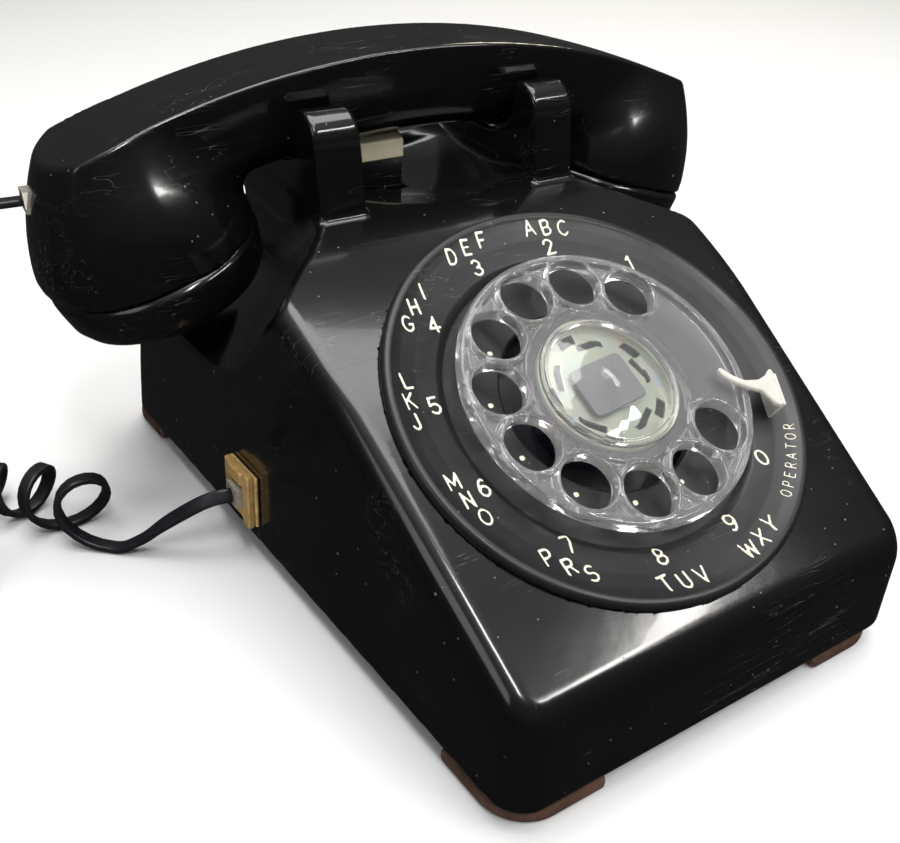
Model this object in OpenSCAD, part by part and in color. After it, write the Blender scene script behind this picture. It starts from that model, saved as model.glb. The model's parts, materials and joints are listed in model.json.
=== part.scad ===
// Rotary dial desk telephone with its handset on the cradle. Units are millimetres.
// X runs to the telephone's right as seen from the front, Y to the back, Z up; Z = 0 is under the feet.

/* [Housing] */
// Length of the housing from front wall to back wall
body_depth = 222; // [218:1:228]
// Half width of the housing at the front wall
front_half_w = 64.3; // [62:0.1:67]
// Outward growth of each side wall per millimetre of depth
side_flare = 0.11; // [0.09:0.005:0.125]
// Inward lean of each side wall per millimetre of height
side_lean = 0.063; // [0.04:0.001:0.08]
// Height of the housing's lower rim above the table
rim_z = 7; // [6:0.5:8]
// Thickness of the moulded housing wall
wall = 2.6; // [2.2:0.1:3]
// Height of the flat deck behind the dial
deck_z = 99; // [98:0.5:100]

/* [Cradle] */
// Distance from the middle to the outer side of each cradle arm
arm_out_x = 43.5; // [42:0.5:45]
// Distance from the middle to the inner side of each cradle arm
arm_in_x = 29.2; // [28:0.1:31]
// Height of the cradle arm tips
arm_tip_z = 124.3; // [122:0.1:126]
// Width of the hook-switch plunger
plunger_w = 20; // [16:1:22]

/* [Dial] */
// Tilt of the dial face from level
dial_tilt = 29.25; // [28:0.25:30]
// Outer diameter of the number plate
plate_d = 117.2; // [114:0.2:118]
// Diameter of the clear finger wheel
wheel_d = 83; // [80:0.5:84]
// Radius of the circle the finger holes lie on
hole_pitch_r = 31; // [30:0.5:31.5]
// Diameter of one finger hole
hole_d = 14; // [13:0.2:14.6]
// Teeth on the main gear
main_teeth = 72; // [72:1:74]
// Teeth on the small pinions
pinion_teeth = 12; // [12:1:13]
// Teeth on the idler gear
idler_teeth = 48; // [46:1:50]
// Tooth module of the gear train
gear_module = 0.6; // [0.58:0.01:0.6]

/* [Handset] */
// Half of the handset's overall length
handset_half_l = 115.7; // [115.2:0.1:116.2]
// Height of the handset's crown above the table
crown_z = 136.3; // [136:0.1:137]
// Width of the handle from front to back
handle_w = 34; // [32:0.5:35]
// Radius of the round caps
cap_r = 31.5; // [30.5:0.1:31.7]
// Inward tilt of the caps
cap_tilt = 17; // [15:0.5:18]

/* [Cord] */
// Outer diameter of the curly section
curl_d = 17; // [16:0.5:18]
// Width of the flat cord
cord_w = 4.4; // [4:0.1:5]

/* [Hidden] */
front_y = -body_depth / 2;
back_y = body_depth / 2;
slope = tan(dial_tilt);
dial_y = front_y + 59.7;
dial_z = 68.5;
handset_y = 57.5;
cap_x = 83.2;
cap_z = 84;
plug_x = 114.4;
plug_depth = 12;
plug_z = 103;
fine = 72;
medium = 40;
big = 400;
hinge_gap = 0.3;
shelf_z = 56;
shelf_x = 75;
crown_r = 275;
end_r = 30;
end_curve = 0.007;
dome = 0.0117;
handle_t = 26;
saddle_z = crown_z - handle_t - 4.2;
plate_r = plate_d / 2;
wheel_r = wheel_d / 2;
idler_dist = gear_module * (main_teeth + pinion_teeth) / 2 + 0.04;
stop_ang = -21;
stop_r = 43.2;
stop_foot_z = -2;
idler_ang = 150;
idler_x = idler_dist * cos(idler_ang);
idler_y = idler_dist * sin(idler_ang);
gov_dist = gear_module * (idler_teeth + pinion_teeth) / 2 + 0.04;
gov_ang = 230;
gov_x = idler_x + gov_dist * cos(gov_ang);
gov_y = idler_y + gov_dist * sin(gov_ang);
// Turns that put the meshing teeth in step at rest.
pinion_turn = idler_ang + 180 + 180 / pinion_teeth
    - (idler_ang - round(idler_ang * main_teeth / 360) * 360 / main_teeth) * -main_teeth / pinion_teeth;
gov_turn = gov_ang + 180 + 180 / pinion_teeth
    - (gov_ang - round(gov_ang * idler_teeth / 360) * 360 / idler_teeth) * -idler_teeth / pinion_teeth;
jack_y = 12.5;
jack_z = 22.5;
jack_x = -side_x(jack_y, jack_z);
jack_turn = [0, atan(side_lean), atan(side_flare)];
plunger_x = -13;
plunger_y = 52.5;
plunger_top = crown_z - handle_t - 1.3;
line_jack_x = 40;
line_jack_z = 17.5;
floor_z = rim_z + 2.6;
gong_x = -44;
clapper_x = -30;
clapper_y = 55;
wheel_x = 68.7;
wheel_y = 47.5;
// Housing screws, foot rivets and the strips that carry the dial.
screw_spots = [[0, -99], [0, 96]];
rivet_spots = [[48, -92], [66, 88]];
strip_spots = [[17, -78], [17, -9]];

// X of the housing's side wall at depth y and height z.
function side_x(y, z) = front_half_w + side_flare * (y - front_y) - side_lean * (z - rim_z);
// Height of the dial face's plane at depth y.
function face_z(y) = dial_z + (y - dial_y) * slope;
// Points of a round corner about (cx, cy) from angle a0 to a1.
function arc(cx, cy, r, a0, a1, n) =
    [for (i = [0:n]) [cx + r * cos(a0 + (a1 - a0) * i / n), cy + r * sin(a0 + (a1 - a0) * i / n)]];

// Involute gear outline.
gear_pressure = 20;
function inv(a) = tan(a) * 180 / PI - a;
function flank(z, rp, r, play) =
    let (rb = rp * cos(gear_pressure), a = r <= rb ? 0 : acos(rb / r))
    90 / z + inv(gear_pressure) - inv(a) - play / rp * 180 / PI;
function gear_points(z, m, play) =
    let (rp = z * m / 2, rr = rp - 1.25 * m, ra = rp + 0.9 * m, steps = [rr, rp - 0.5 * m, rp, rp + 0.45 * m, ra])
    [for (k = [0:z - 1]) for (s = [-1, 1]) for (i = [0:4])
        let (r = steps[s < 0 ? i : 4 - i], a = k * 360 / z + s * flank(z, rp, r, play))
        [r * cos(a), r * sin(a)]];
module gear(z, t, bore_r, turn) {
    rotate([0, 0, turn])
        linear_extrude(height = t)
            difference() {
                polygon(gear_points(z, gear_module, 0.05));
                circle(r = bore_r, $fn = medium);
            }
}

// Places children in the dial's own frame: its face is level there and its centre is the origin.
module at_dial() {
    translate([0, dial_y, dial_z]) rotate([dial_tilt, 0, 0]) children();
}
module both_sides() {
    children();
    mirror([1, 0, 0]) children();
}

// Everything outside the right-hand side wall, moved inwards by d.
module beyond_side(d) {
    n_len = sqrt(1 + side_flare * side_flare + side_lean * side_lean);
    translate([front_half_w - d, front_y, rim_z])
        rotate([0, -asin(side_lean / n_len), -atan(side_flare)])
            translate([0, -big / 2, -big / 2]) cube([big, 2 * big, big]);
}
// Everything over the scoop that clears the right-hand handset cap, moved inwards by d.
module over_scoop(d) {
    intersection() {
        translate([arm_out_x - 0.70 * d, 23 - 0.447 * d, 97 - 0.557 * d])
            rotate([0, -33.85, 32.56])
                translate([0, -big / 2, -big / 2]) cube([big, big, big]);
        translate([shelf_x, 0, shelf_z - d / cos(cap_tilt)])
            rotate([0, cap_tilt, 0])
                translate([-big / 2, -big / 2, 0]) cube([big, big, big]);
        translate([arm_out_x - d, -big / 2, 0]) cube([big, big, big]);
    }
}
// Side outline of the housing block, moved inwards by d.
function side_outline(d) =
    let (ridge = 6, back = back_y - d, top = deck_z - d)
    concat(
        [[front_y + d, rim_z - 1]],
        arc(front_y + d + ridge, face_z(front_y) - d + 1.2 * slope - 4.2, ridge, 180, 120, 5),
        [[-18, face_z(-18) - d / cos(dial_tilt)], [-2, face_z(-2) - d / cos(dial_tilt) - 0.1]],
        [[6, top - 1.2], [15, top - 0.1], [22, top]],
        arc(84 - d, top - 9, 9, 90, 25, 4),
        [[back - 14, 62], [back - 4, 36], [back, 22], [back, rim_z - 1]]);
// Plan outline with round vertical corners.
module plan_outline(d) {
    w0 = front_half_w - d;
    w1 = side_x(back_y, rim_z) - d;
    polygon(concat(
        arc(w0 - 9, front_y + d + 9, 9, -90, -6, 6),
        arc(w1 - 17.5, back_y - d - 16, 16, -6, 90, 6),
        arc(-w1 + 17.5, back_y - d - 16, 16, 90, 186, 6),
        arc(-w0 + 9, front_y + d + 9, 9, 186, 270, 6)));
}
module housing_block(d) {
    difference() {
        intersection() {
            translate([-big / 2, 0, 0])
                rotate([90, 0, 90]) linear_extrude(height = big) polygon(side_outline(d));
            translate([0, 0, rim_z - 1]) linear_extrude(height = 140) plan_outline(d);
        }
        both_sides() beyond_side(d);
        both_sides() over_scoop(d);
    }
}
// Side outline of one cradle arm: front ear, saddle, back ear.
function arm_outline() =
    let (t = arm_tip_z, y0 = handset_y - 35, b = saddle_z)
    concat(
        [[y0 + 0.5, deck_z - 9], [y0 + 0.5, deck_z - 2], [y0 + 3, t - 8.3]],
        arc(y0 + 12, t - 8.8, 8.8, 172, 96, 6),
        [[y0 + 14.8, t - 0.4], [y0 + 15.2, t - 2]],
        [[y0 + 16.4, b + 9], [y0 + 19.5, b + 4.4], [y0 + 25, b + 1.2], [y0 + 31, b]],
        [[y0 + 39, b], [y0 + 45, b + 1.2], [y0 + 50.5, b + 4.4], [y0 + 53.6, b + 9]],
        [[y0 + 54.8, t - 2], [y0 + 55.2, t - 0.4]],
        arc(y0 + 58, t - 8.8, 8.8, 84, 8, 6),
        [[y0 + 69, deck_z - 2], [y0 + 69, deck_z - 14]]);
module cradle_arm() {
    translate([arm_in_x, 0, 0])
        rotate([90, 0, 90]) linear_extrude(height = arm_out_x - arm_in_x) polygon(arm_outline());
}

// Moulded black housing with its cradle arms.
module housing() {
    color([0.03, 0.03, 0.035])
        difference() {
            union() {
                difference() {
                    housing_block(0);
                    // Shallow hand dish between the arms.
                    intersection() {
                        translate([0, 51, deck_z + 94.3]) sphere(r = 101.3, $fn = 96);
                        translate([-arm_in_x, 0, deck_z - 20]) cube([2 * arm_in_x, 120, 40]);
                    }
                    difference() {
                        housing_block(wall);
                        translate([-arm_in_x - wall, 8, deck_z - 8 - wall - 1.5])
                            cube([2 * arm_in_x + 2 * wall, 85, 30]);
                    }
                }
                both_sides() cradle_arm();
                // Screw bosses inside the shell.
                for (p = screw_spots)
                    translate([p[0], p[1], floor_z]) cylinder(h = 13.5, r = 5, $fn = medium);
                translate([-5, 96, floor_z]) cube([10, 12.5, 13.5]);
                translate([-5, front_y + 1, floor_z]) cube([10, 11, 13.5]);
            }
            // Open bottom.
            translate([-big / 2, -big / 2, -1]) cube([big, big, rim_z + 1]);
            // Dial opening.
            at_dial() translate([0, 0, -40]) cylinder(h = 80, r = plate_r + 0.3, $fn = fine);
            // Screw holes in the bosses.
            for (p = screw_spots)
                translate([p[0], p[1], rim_z]) cylinder(h = 15.2, r = 1.9, $fn = medium);
            // Slot for the plunger.
            translate([plunger_x - plunger_w / 2 - 0.4, plunger_y - 3.4, deck_z - 20])
                cube([plunger_w + 0.8, 6.8, 40]);
            // Window for the handset jack in the left wall.
            translate([jack_x - 8, jack_y - 6.5, jack_z - 6.5]) cube([16, 13, 13]);
            // Window for the line jack in the back wall.
            translate([line_jack_x - 9.2, back_y - 20, line_jack_z - 7.2]) cube([18.4, 40, 14.4]);
            // Window for the ringer loudness wheel in the right wall.
            translate([60, 40, rim_z + 3]) cube([40, 15, 4]);
        }
}

// Pressed steel base plate.
module base_plate() {
    color([0.55, 0.56, 0.58])
        difference() {
            union() {
                translate([0, 0, rim_z + 1]) linear_extrude(height = 1.6) plan_outline(wall + 1.4);
                // Upright strips that carry the dial, cut off at the underside of its frame.
                difference() {
                    both_sides() for (p = strip_spots)
                        translate([p[0] - 3, p[1], rim_z + 2]) cube([6, 3, 80]);
                    at_dial() translate([-60, -70, -17]) cube([120, 140, 60]);
                }
            }
            for (p = screw_spots)
                translate([p[0], p[1], rim_z]) cylinder(h = 4, r = 2.3, $fn = medium);
            both_sides() {
                for (p = rivet_spots)
                    translate([p[0], p[1], rim_z - 0.5]) cylinder(h = 4, r = 3.05, $fn = medium);
                translate([20, -50, rim_z]) cylinder(h = 4, r = 7, $fn = medium);
            }
        }
}

// Four brown foot pads in the corners.
module foot_shape(front) {
    x0 = front ? 36 : 56;
    y0 = front ? front_y - 5 : back_y - 29;
    translate([x0, y0, 0]) cube([40, 34, rim_z + 1]);
}
module feet() {
    color([0.30, 0.17, 0.12])
        both_sides() {
            intersection() {
                linear_extrude(height = rim_z - 0.3) plan_outline(0.6);
                union() {
                    foot_shape(true);
                    foot_shape(false);
                }
            }
            for (p = rivet_spots) translate([p[0], p[1], rim_z - 1]) {
                cylinder(h = 4.4, r = 3, $fn = medium);
                translate([0, 0, 3.65]) cylinder(h = 1.2, r = 4.2, $fn = medium);
                translate([0, 0, 0.5]) cylinder(h = 1.45, r = 6, $fn = medium);
            }
        }
}

// Two screws that hold the housing down.
module housing_screws() {
    color([0.7, 0.7, 0.68])
        for (p = screw_spots) translate([p[0], p[1], rim_z - 1.2])
            difference() {
                union() {
                    cylinder(h = 2.15, r = 3.6, $fn = medium);
                    cylinder(h = 16, r = 1.9, $fn = medium);
                }
                translate([-4, -0.45, -1]) cube([8, 0.9, 1.9]);
            }
}

// Dished number plate around the finger wheel.
module number_plate() {
    color([0.05, 0.05, 0.055])
        at_dial() {
            difference() {
                rotate_extrude($fn = fine)
                    polygon([[plate_r, -4.5], [plate_r, 1.6], [plate_r - 0.8, 2.5], [plate_r - 2.2, 2.5],
                        [plate_r - 4.4, 1.2], [50, 0.2], [44, -0.9], [42.6, -2], [22, -2.4], [22, -4],
                        [44, -3.6], [52, -2.8], [plate_r - 2, -4.5]]);
                // Pocket for the foot of the finger stop.
                rotate([0, 0, stop_ang]) translate([stop_r - 0.2, -3.2, stop_foot_z]) cube([5, 6.4, 6]);
            }
            for (a = [30, 150, 270]) rotate([0, 0, a])
                translate([38, 0, -14.55]) cylinder(h = 11, r = 2.6, $fn = medium);
        }
}

// Polished finger stop hooked over the wheel's edge.
module finger_stop() {
    color([0.85, 0.85, 0.84])
        at_dial() rotate([0, 0, stop_ang]) {
            translate([stop_r, -3, stop_foot_z]) cube([4.6, 6, 7 - stop_foot_z]);
            translate([0, 0, 7]) linear_extrude(height = 1.5)
                polygon([[31, 4.6], [32.2, 6], [40, 3.6], [43.4, 5], [46.6, 9.4], [47.8, 9], [48.6, -3.2],
                    [43, -3.2], [38, 1.2]]);
        }
}

// Clear finger wheel with ten holes.
module finger_wheel() {
    color([0.9, 0.86, 0.84, 0.35])
        at_dial()
            difference() {
                union() {
                    rotate_extrude($fn = fine)
                        polygon([[15, 1.4], [wheel_r - 2, 2.2], [wheel_r, 2.8], [wheel_r, 5.4], [wheel_r - 0.8, 6.2],
                            [wheel_r - 2, 6.2], [wheel_r - 3, 5.2], [22.5, 5.2], [21.2, 6], [20.2, 5.2], [15, 4.2]]);
                    for (k = [0:9]) rotate([0, 0, 47 + 30 * k])
                        translate([hole_pitch_r, 0, 3]) cylinder(h = 2.9, r = hole_d / 2 + 0.85, $fn = medium);
                }
                for (k = [0:9]) rotate([0, 0, 47 + 30 * k])
                    translate([hole_pitch_r, 0, 0]) cylinder(h = 9, r = hole_d / 2, $fn = medium);
            }
}

// Clear domed window over the number card.
module centre_window() {
    color([0.92, 0.9, 0.88, 0.35])
        at_dial()
            rotate_extrude($fn = fine)
                polygon([[0, 6.6], [0, 8.4], [8, 8], [15, 6.9], [20, 5.35], [20, 5.3], [14.8, 4.3], [14.8, 2.4],
                    [13.8, 2.4], [13.8, 5.4]]);
}

// Square number card under the window.
module number_card() {
    color([0.55, 0.56, 0.58])
        at_dial() difference() {
            translate([-6.5, -6.5, 2.5]) cube([13, 13, 0.8]);
            rotate([0, 0, 12]) translate([-1.2, -2.2, 2.9]) cube([2.4, 4.4, 1]);
        }
}

// Pressed metal hub that carries the wheel.
module dial_hub() {
    color([0.8, 0.78, 0.7])
        at_dial() difference() {
            union() {
                translate([0, 0, 0.2]) cylinder(h = 1.1, r = 19.5, $fn = fine);
                translate([0, 0, -1.6]) cylinder(h = 2.5, r = 7, $fn = medium);
                translate([-7, -7, 1.2]) cube([14, 14, 1.2]);
            }
            translate([0, 0, -3]) cylinder(h = 4.2, r = 3, $fn = medium);
            for (k = [0:4]) rotate([0, 0, 72 * k + 20]) translate([13, -1.5, 0]) cube([3.4, 3, 3]);
            for (k = [0:2]) rotate([0, 0, 120 * k]) translate([18, -2, 0]) cube([4, 4, 3]);
        }
}

// Main shaft of the dial.
module dial_shaft() {
    color([0.75, 0.75, 0.74])
        at_dial() {
            translate([0, 0, -33]) cylinder(h = 34.2, r = 3, $fn = medium);
        }
}
module main_gear() {
    color([0.83, 0.68, 0.36])
        at_dial() translate([0, 0, -22]) difference() {
            gear(main_teeth, 1.5, 3, 0);
            for (k = [0:5]) rotate([0, 0, 60 * k]) translate([12.5, 0, -1]) cylinder(h = 4, r = 3.6, $fn = medium);
        }
}

// Die-cast frame behind the number plate.
module dial_frame() {
    color([0.62, 0.62, 0.62])
        at_dial() difference() {
            union() {
                translate([0, 0, -17]) cylinder(h = 2, r = 44, $fn = fine);
                for (a = [30, 150, 270]) rotate([0, 0, a])
                    translate([38, 0, -17]) cylinder(h = 2.4, r = 4.4, $fn = medium);
                translate([0, 0, -17]) cylinder(h = 9, r = 6, $fn = medium);
                // Bridge under the gears and its three posts.
                translate([0, 0, -32]) linear_extrude(height = 1.6)
                    polygon([[30, -10], [30, 10], [4, 12], [-25, 34], [-34, 33], [-41, 12], [-41, -8],
                        [-34, -28], [-26, -28], [0, -9]]);
                translate([27, -9, -32]) cube([3, 18, 16]);
                for (p = [[-30, 29.5], [-30, -24]])
                    translate([p[0], p[1], -32]) cylinder(h = 16, r = 2.2, $fn = medium);
            }
            translate([0, 0, -40]) cylinder(h = 40, r = 3.05, $fn = medium);
            for (p = [[idler_x, idler_y], [gov_x, gov_y]])
                translate([p[0], p[1], -40]) cylinder(h = 40, r = 1.55, $fn = medium);
        }
}

// Idler shaft with its pinion, its large gear and the pulse cam.
module idler_gear() {
    color([0.83, 0.68, 0.36])
        at_dial() translate([idler_x, idler_y, 0]) {
            translate([0, 0, -31.8]) cylinder(h = 16.5, r = 1.5, $fn = medium);
            translate([0, 0, -22.4]) gear(pinion_teeth, 2.3, 1.2, pinion_turn);
            translate([0, 0, -26]) gear(idler_teeth, 1.4, 1.2, 0);
        }
}
module pulse_cam() {
    color([0.25, 0.2, 0.16])
        at_dial() translate([idler_x, idler_y, -19.8]) difference() {
            union() {
                cylinder(h = 1.6, r = 4.2, $fn = medium);
                translate([-6.2, -1.6, 0]) cube([12.4, 3.2, 1.6]);
            }
            translate([0, 0, -1]) cylinder(h = 4, r = 1.5, $fn = medium);
        }
}

// Governor rotor with two fly weights, and the fixed cup around it.
module governor() {
    color([0.7, 0.66, 0.5])
        at_dial() translate([gov_x, gov_y, 0]) {
            translate([0, 0, -31.8]) cylinder(h = 16.5, r = 1.5, $fn = medium);
            translate([0, 0, -26.4]) gear(pinion_teeth, 2.2, 1.2, gov_turn);
            translate([-6, -1.2, -23.4]) cube([12, 2.4, 1.6]);
            for (s = [-1, 1]) translate([s * 6, 0, -23.4]) cylinder(h = 2.6, r = 1.9, $fn = medium);
        }
}
module governor_cup() {
    color([0.6, 0.6, 0.6])
        at_dial() translate([gov_x, gov_y, -23.6]) difference() {
            cylinder(h = 6.55, r = 9.8, $fn = medium);
            translate([0, 0, -1]) cylinder(h = 6.4, r = 8.6, $fn = medium);
            cylinder(h = 9, r = 1.7, $fn = medium);
        }
}
// Contact leaf springs worked by the cam.
module pulse_springs() {
    color([0.78, 0.77, 0.7])
        at_dial() translate([idler_x + 2, idler_y + 8.2, -21.5]) {
            for (k = [0:2]) translate([-14, 1.2 + 1.7 * k, 0.8]) cube([22, 0.35, 3]);
            translate([5, -0.4, -1]) cube([5, 6.2, 5.5]);
        }
}
// Flat spring barrel that turns the dial back.
module motor_spring() {
    color([0.4, 0.42, 0.46])
        at_dial() translate([0, 0, -14.9]) difference() {
            cylinder(h = 4.6, r = 15, $fn = fine);
            translate([0, 0, -1]) cylinder(h = 8, r = 6, $fn = fine);
        }
}

// Network block with its row of screw terminals.
module network_block() {
    color([0.32, 0.33, 0.35])
        translate([14, 20, floor_z]) difference() {
            cube([40, 54, 24]);
            translate([3, 3, 21]) cube([34, 48, 5]);
        }
}
module terminal_board() {
    color([0.62, 0.5, 0.33])
        translate([17, 23, floor_z + 21]) cube([34, 48, 2.4]);
}
module terminal_screws() {
    color([0.8, 0.78, 0.7])
        for (i = [0:5]) for (x = [22, 46]) translate([x, 27.5 + 8 * i, floor_z + 23.4]) {
            cylinder(h = 1.8, r = 2.6, $fn = medium);
        }
}

// Ringer: frame, two gongs, coil, and the swinging clapper.
module ringer_frame() {
    color([0.6, 0.6, 0.6])
        translate([0, 0, floor_z]) {
            translate([gong_x - 17.2, 14, 0]) cube([33.2, 84, 1.6]);
            for (y = [30, 80]) translate([gong_x, y, 0]) cylinder(h = 14.6, r = 2.4, $fn = medium);
            translate([clapper_x, clapper_y - 5, 0]) cube([2, 10, 14]);
        }
}
module gong(y, h) {
    translate([gong_x, y, floor_z + 2.4])
        rotate_extrude($fn = fine)
            polygon([[2.5, h], [13, h], [18.2, h - 2], [20.4, h - 6], [21, 1], [20, 1], [19.4, h - 6.2],
                [17.4, h - 3], [12.6, h - 1.2], [2.5, h - 1.2]]);
}
module gong_front() {
    color([0.72, 0.66, 0.5]) gong(30, 13.4);
}
module gong_back() {
    color([0.76, 0.7, 0.54]) gong(80, 12.6);
}
module gong_screws() {
    color([0.8, 0.78, 0.7])
        for (y = [30, 80]) translate([gong_x, y, floor_z + 15.9]) cylinder(h = 2, r = 4, $fn = medium);
}
module ringer_coil() {
    color([0.45, 0.16, 0.1])
        translate([-14, clapper_y, floor_z]) {
            translate([0, 0, 8]) rotate([90, 0, 0]) translate([0, 0, -14]) cylinder(h = 28, r = 8, $fn = medium);
            translate([-8, -15, 0]) cube([16, 30, 4]);
        }
}
module clapper() {
    color([0.75, 0.73, 0.66]) {
        translate([clapper_x, clapper_y, floor_z + 14.2]) cylinder(h = 2.4, r = 2.4, $fn = medium);
        translate([gong_x, clapper_y - 0.6, floor_z + 14.6]) cube([14, 1.2, 1.2]);
        translate([gong_x, clapper_y, floor_z + 8]) cylinder(h = 8, r = 1.5, $fn = medium);
        translate([gong_x, clapper_y, floor_z + 8]) sphere(r = 2.6, $fn = medium);
        translate([clapper_x, clapper_y - 0.8, floor_z + 14.6]) cube([9, 1.6, 1.4]);
    }
}
module volume_wheel() {
    color([0.12, 0.12, 0.12])
        translate([wheel_x, wheel_y, floor_z + 1]) difference() {
            cylinder(h = 2.6, r = 11.5, $fn = fine);
            translate([0, 0, -1]) cylinder(h = 5, r = 2.05, $fn = medium);
            for (k = [0:29]) rotate([0, 0, 12 * k]) translate([11.6, 0, -1]) cylinder(h = 5, r = 0.5, $fn = 16);
        }
}
module volume_pin() {
    color([0.7, 0.7, 0.7])
        translate([wheel_x, wheel_y, floor_z]) {
            cylinder(h = 4.6, r = 2, $fn = medium);
            cylinder(h = 0.8, r = 4, $fn = medium);
            translate([0, 0, 4]) cylinder(h = 1, r = 3.4, $fn = medium);
        }
}

// Hook switch: fixed bracket and contacts; the plunger and its arm move.
module switch_bracket() {
    color([0.6, 0.6, 0.6]) {
        translate([-22, 36, floor_z]) cube([22, 1.6, 50]);
        translate([-22, 28, floor_z]) cube([22, 9, 1.2]);
    }
}
module switch_contacts() {
    color([0.75, 0.72, 0.62]) {
        translate([-21, 37.6, 44]) cube([20, 11, 5]);
        for (k = [0:3]) translate([-19.5 + 4.6 * k, 47, 48.5]) cube([2.6, 0.5, 14]);
    }
}
module plunger() {
    color([0.93, 0.9, 0.76])
        difference() {
            translate([plunger_x - plunger_w / 2, plunger_y - 3, deck_z - 22])
                cube([plunger_w, 6, plunger_top - deck_z + 22]);
            translate([plunger_x - plunger_w / 2 - 1, plunger_y - 3.5, plunger_top - 0.7])
                rotate([30, 0, 0]) translate([0, -3, 0]) cube([plunger_w + 2, 3, 3]);
        }
}
module plunger_arm() {
    color([0.6, 0.6, 0.62]) {
        translate([plunger_x - 8, plunger_y - 3, deck_z - 24]) cube([16, 6, 2]);
        translate([plunger_x - 5, plunger_y - 0.8, deck_z - 33]) cube([10, 1.6, 9]);
    }
}

// Amber modular jack on the left side, its plug, and the line jack at the back.
module handset_jack() {
    color([0.72, 0.5, 0.2])
        translate([jack_x, jack_y, jack_z]) rotate(jack_turn) difference() {
            union() {
                translate([-3.2, -10, -9.5]) cube([3, 20, 19]);
                translate([-0.3, -6, -6]) cube([14, 12, 12]);
            }
            translate([-4, -3.4, -3.6]) cube([13, 6.8, 7.2]);
        }
}
module line_jack() {
    color([0.8, 0.78, 0.7])
        translate([line_jack_x, back_y, line_jack_z]) difference() {
            union() {
                translate([-9, -2.6, -7]) cube([18, 2.2, 14]);
                translate([-6, -15, -6]) cube([12, 13, 12]);
            }
            translate([-3.3, -12, -3.6]) cube([6.6, 13, 7.2]);
        }
}
module base_plug() {
    color([0.75, 0.73, 0.68, 0.5])
        translate([jack_x, jack_y, jack_z]) rotate(jack_turn)
            translate([-5, -3.2, -3.3]) cube([13, 6.4, 6.6]);
}

// Handset: body, two screwed caps, the two units inside them, and the cord's plug.
function handle_section() =
    let (h = handle_w / 2, b = -handle_t)
    [[-h + 3, 0.2 - 1.4], [-h + 0.6, -3.6], [-h, -6], [-h + 0.4, -13.5], [-h + 2.2, -19], [-h + 6.2, -23.6],
        [-6, b + 0.5], [0, b], [6, b + 0.5], [h - 6.2, -23.6], [h - 2.2, -19], [h - 0.4, -13.5], [h, -6],
        [h - 0.6, -3.6], [h - 3, -1.2], [7, -0.2], [0, 0], [-7, -0.2]];
// The same section drawn in by the thickness of its wall.
function hollow_section() = [for (p = handle_section()) [p[0] * 0.8, (p[1] + handle_t / 2) * 0.72 - handle_t / 2]];
module handle_sweep(section, spread) {
    translate([0, 0, crown_z - crown_r]) rotate([90, 0, 0])
        rotate_extrude(angle = 2 * spread, start = 90 - spread, $fn = 360)
            translate([crown_r, 0]) rotate([0, 0, -90]) polygon(section);
}
// Domed cup: its radius shrinks with the height over the cap.
function cup_r(h) = cap_r + 0.1 - dome * h * h;
module cup_solid() {
    translate([cap_x, 0, cap_z]) rotate([0, cap_tilt, 0]) rotate_extrude($fn = fine)
        polygon(concat([[0, 0]], [for (h = [0:4:44]) [cup_r(h), h]], [[0, 44]]));
}
// Room for the unit inside a cup.
module cup_hollow() {
    wall = 3.3;
    translate([cap_x, 0, cap_z]) rotate([0, cap_tilt, 0]) rotate_extrude($fn = fine)
        polygon(concat([[0, -1], [cup_r(0) - wall, -1]], [for (h = [4:4:28]) [cup_r(h) - wall, h]], [[0, 28]]));
}
// Block whose round ends limit the handle's square shoulders.
module handle_limit() {
    both_sides() translate([handset_half_l - end_r, 0, 0]) rotate_extrude($fn = fine)
        polygon(concat([[0, 50]], [for (z = [50:8:138]) [end_r - end_curve * pow(z - cap_z + 1, 2), z]], [[0, 138]]));
    translate([end_r - handset_half_l, -end_r, 50]) cube([2 * (handset_half_l - end_r), 2 * end_r, 88]);
}
module handset_body_solid() {
    intersection() {
        union() {
            both_sides() cup_solid();
            intersection() {
                handle_sweep(handle_section(), 24.5);
                handle_limit();
            }
        }
        // Crowned top.
        translate([0, 60, crown_z - crown_r]) rotate([90, 0, 0]) cylinder(h = 120, r = crown_r, $fn = 360);
    }
}
module handset_shell() {
    color([0.03, 0.03, 0.035])
        translate([0, handset_y, 0]) difference() {
            handset_body_solid();
            // Hollows behind the units and through the handle.
            both_sides() cup_hollow();
            handle_sweep(hollow_section(), 15);
            // Socket for the cord's plug.
            translate([-big / 2, 1 - 3.1, plug_z - 3.1]) cube([big / 2 - plug_x + plug_depth + 0.1, 6.2, 6.2]);
        }
}
module cap_solid(holes) {
    translate([cap_x, handset_y, cap_z]) rotate([0, cap_tilt, 0]) difference() {
        rotate_extrude($fn = fine)
            polygon([[0, -16], [cap_r - 7, -16], [cap_r - 3, -14.4], [cap_r - 1, -11.5], [cap_r, -6], [cap_r, -0.25],
                [cap_r - 3, -0.25], [cap_r - 3, -6], [cap_r - 4.2, -11], [cap_r - 7, -13.6], [0, -13.6]]);
        for (k = [0:holes - 1]) rotate([0, 0, 360 * k / holes])
            translate([7, 0, -18]) cylinder(h = 6, r = 1.2, $fn = 16);
        translate([0, 0, -18]) cylinder(h = 6, r = 1.2, $fn = 16);
    }
}
module receiver_cap() {
    color([0.03, 0.03, 0.035]) cap_solid(6);
}
module transmitter_cap() {
    color([0.03, 0.03, 0.035]) mirror([1, 0, 0]) cap_solid(12);
}
module unit_solid(r, t) {
    translate([cap_x, handset_y, cap_z]) rotate([0, cap_tilt, 0]) {
        translate([0, 0, -13.4]) cylinder(h = t, r = r, $fn = fine);
        translate([0, 0, t - 13.5]) cylinder(h = 4, r = r * 0.6, $fn = fine);
    }
}
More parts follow.
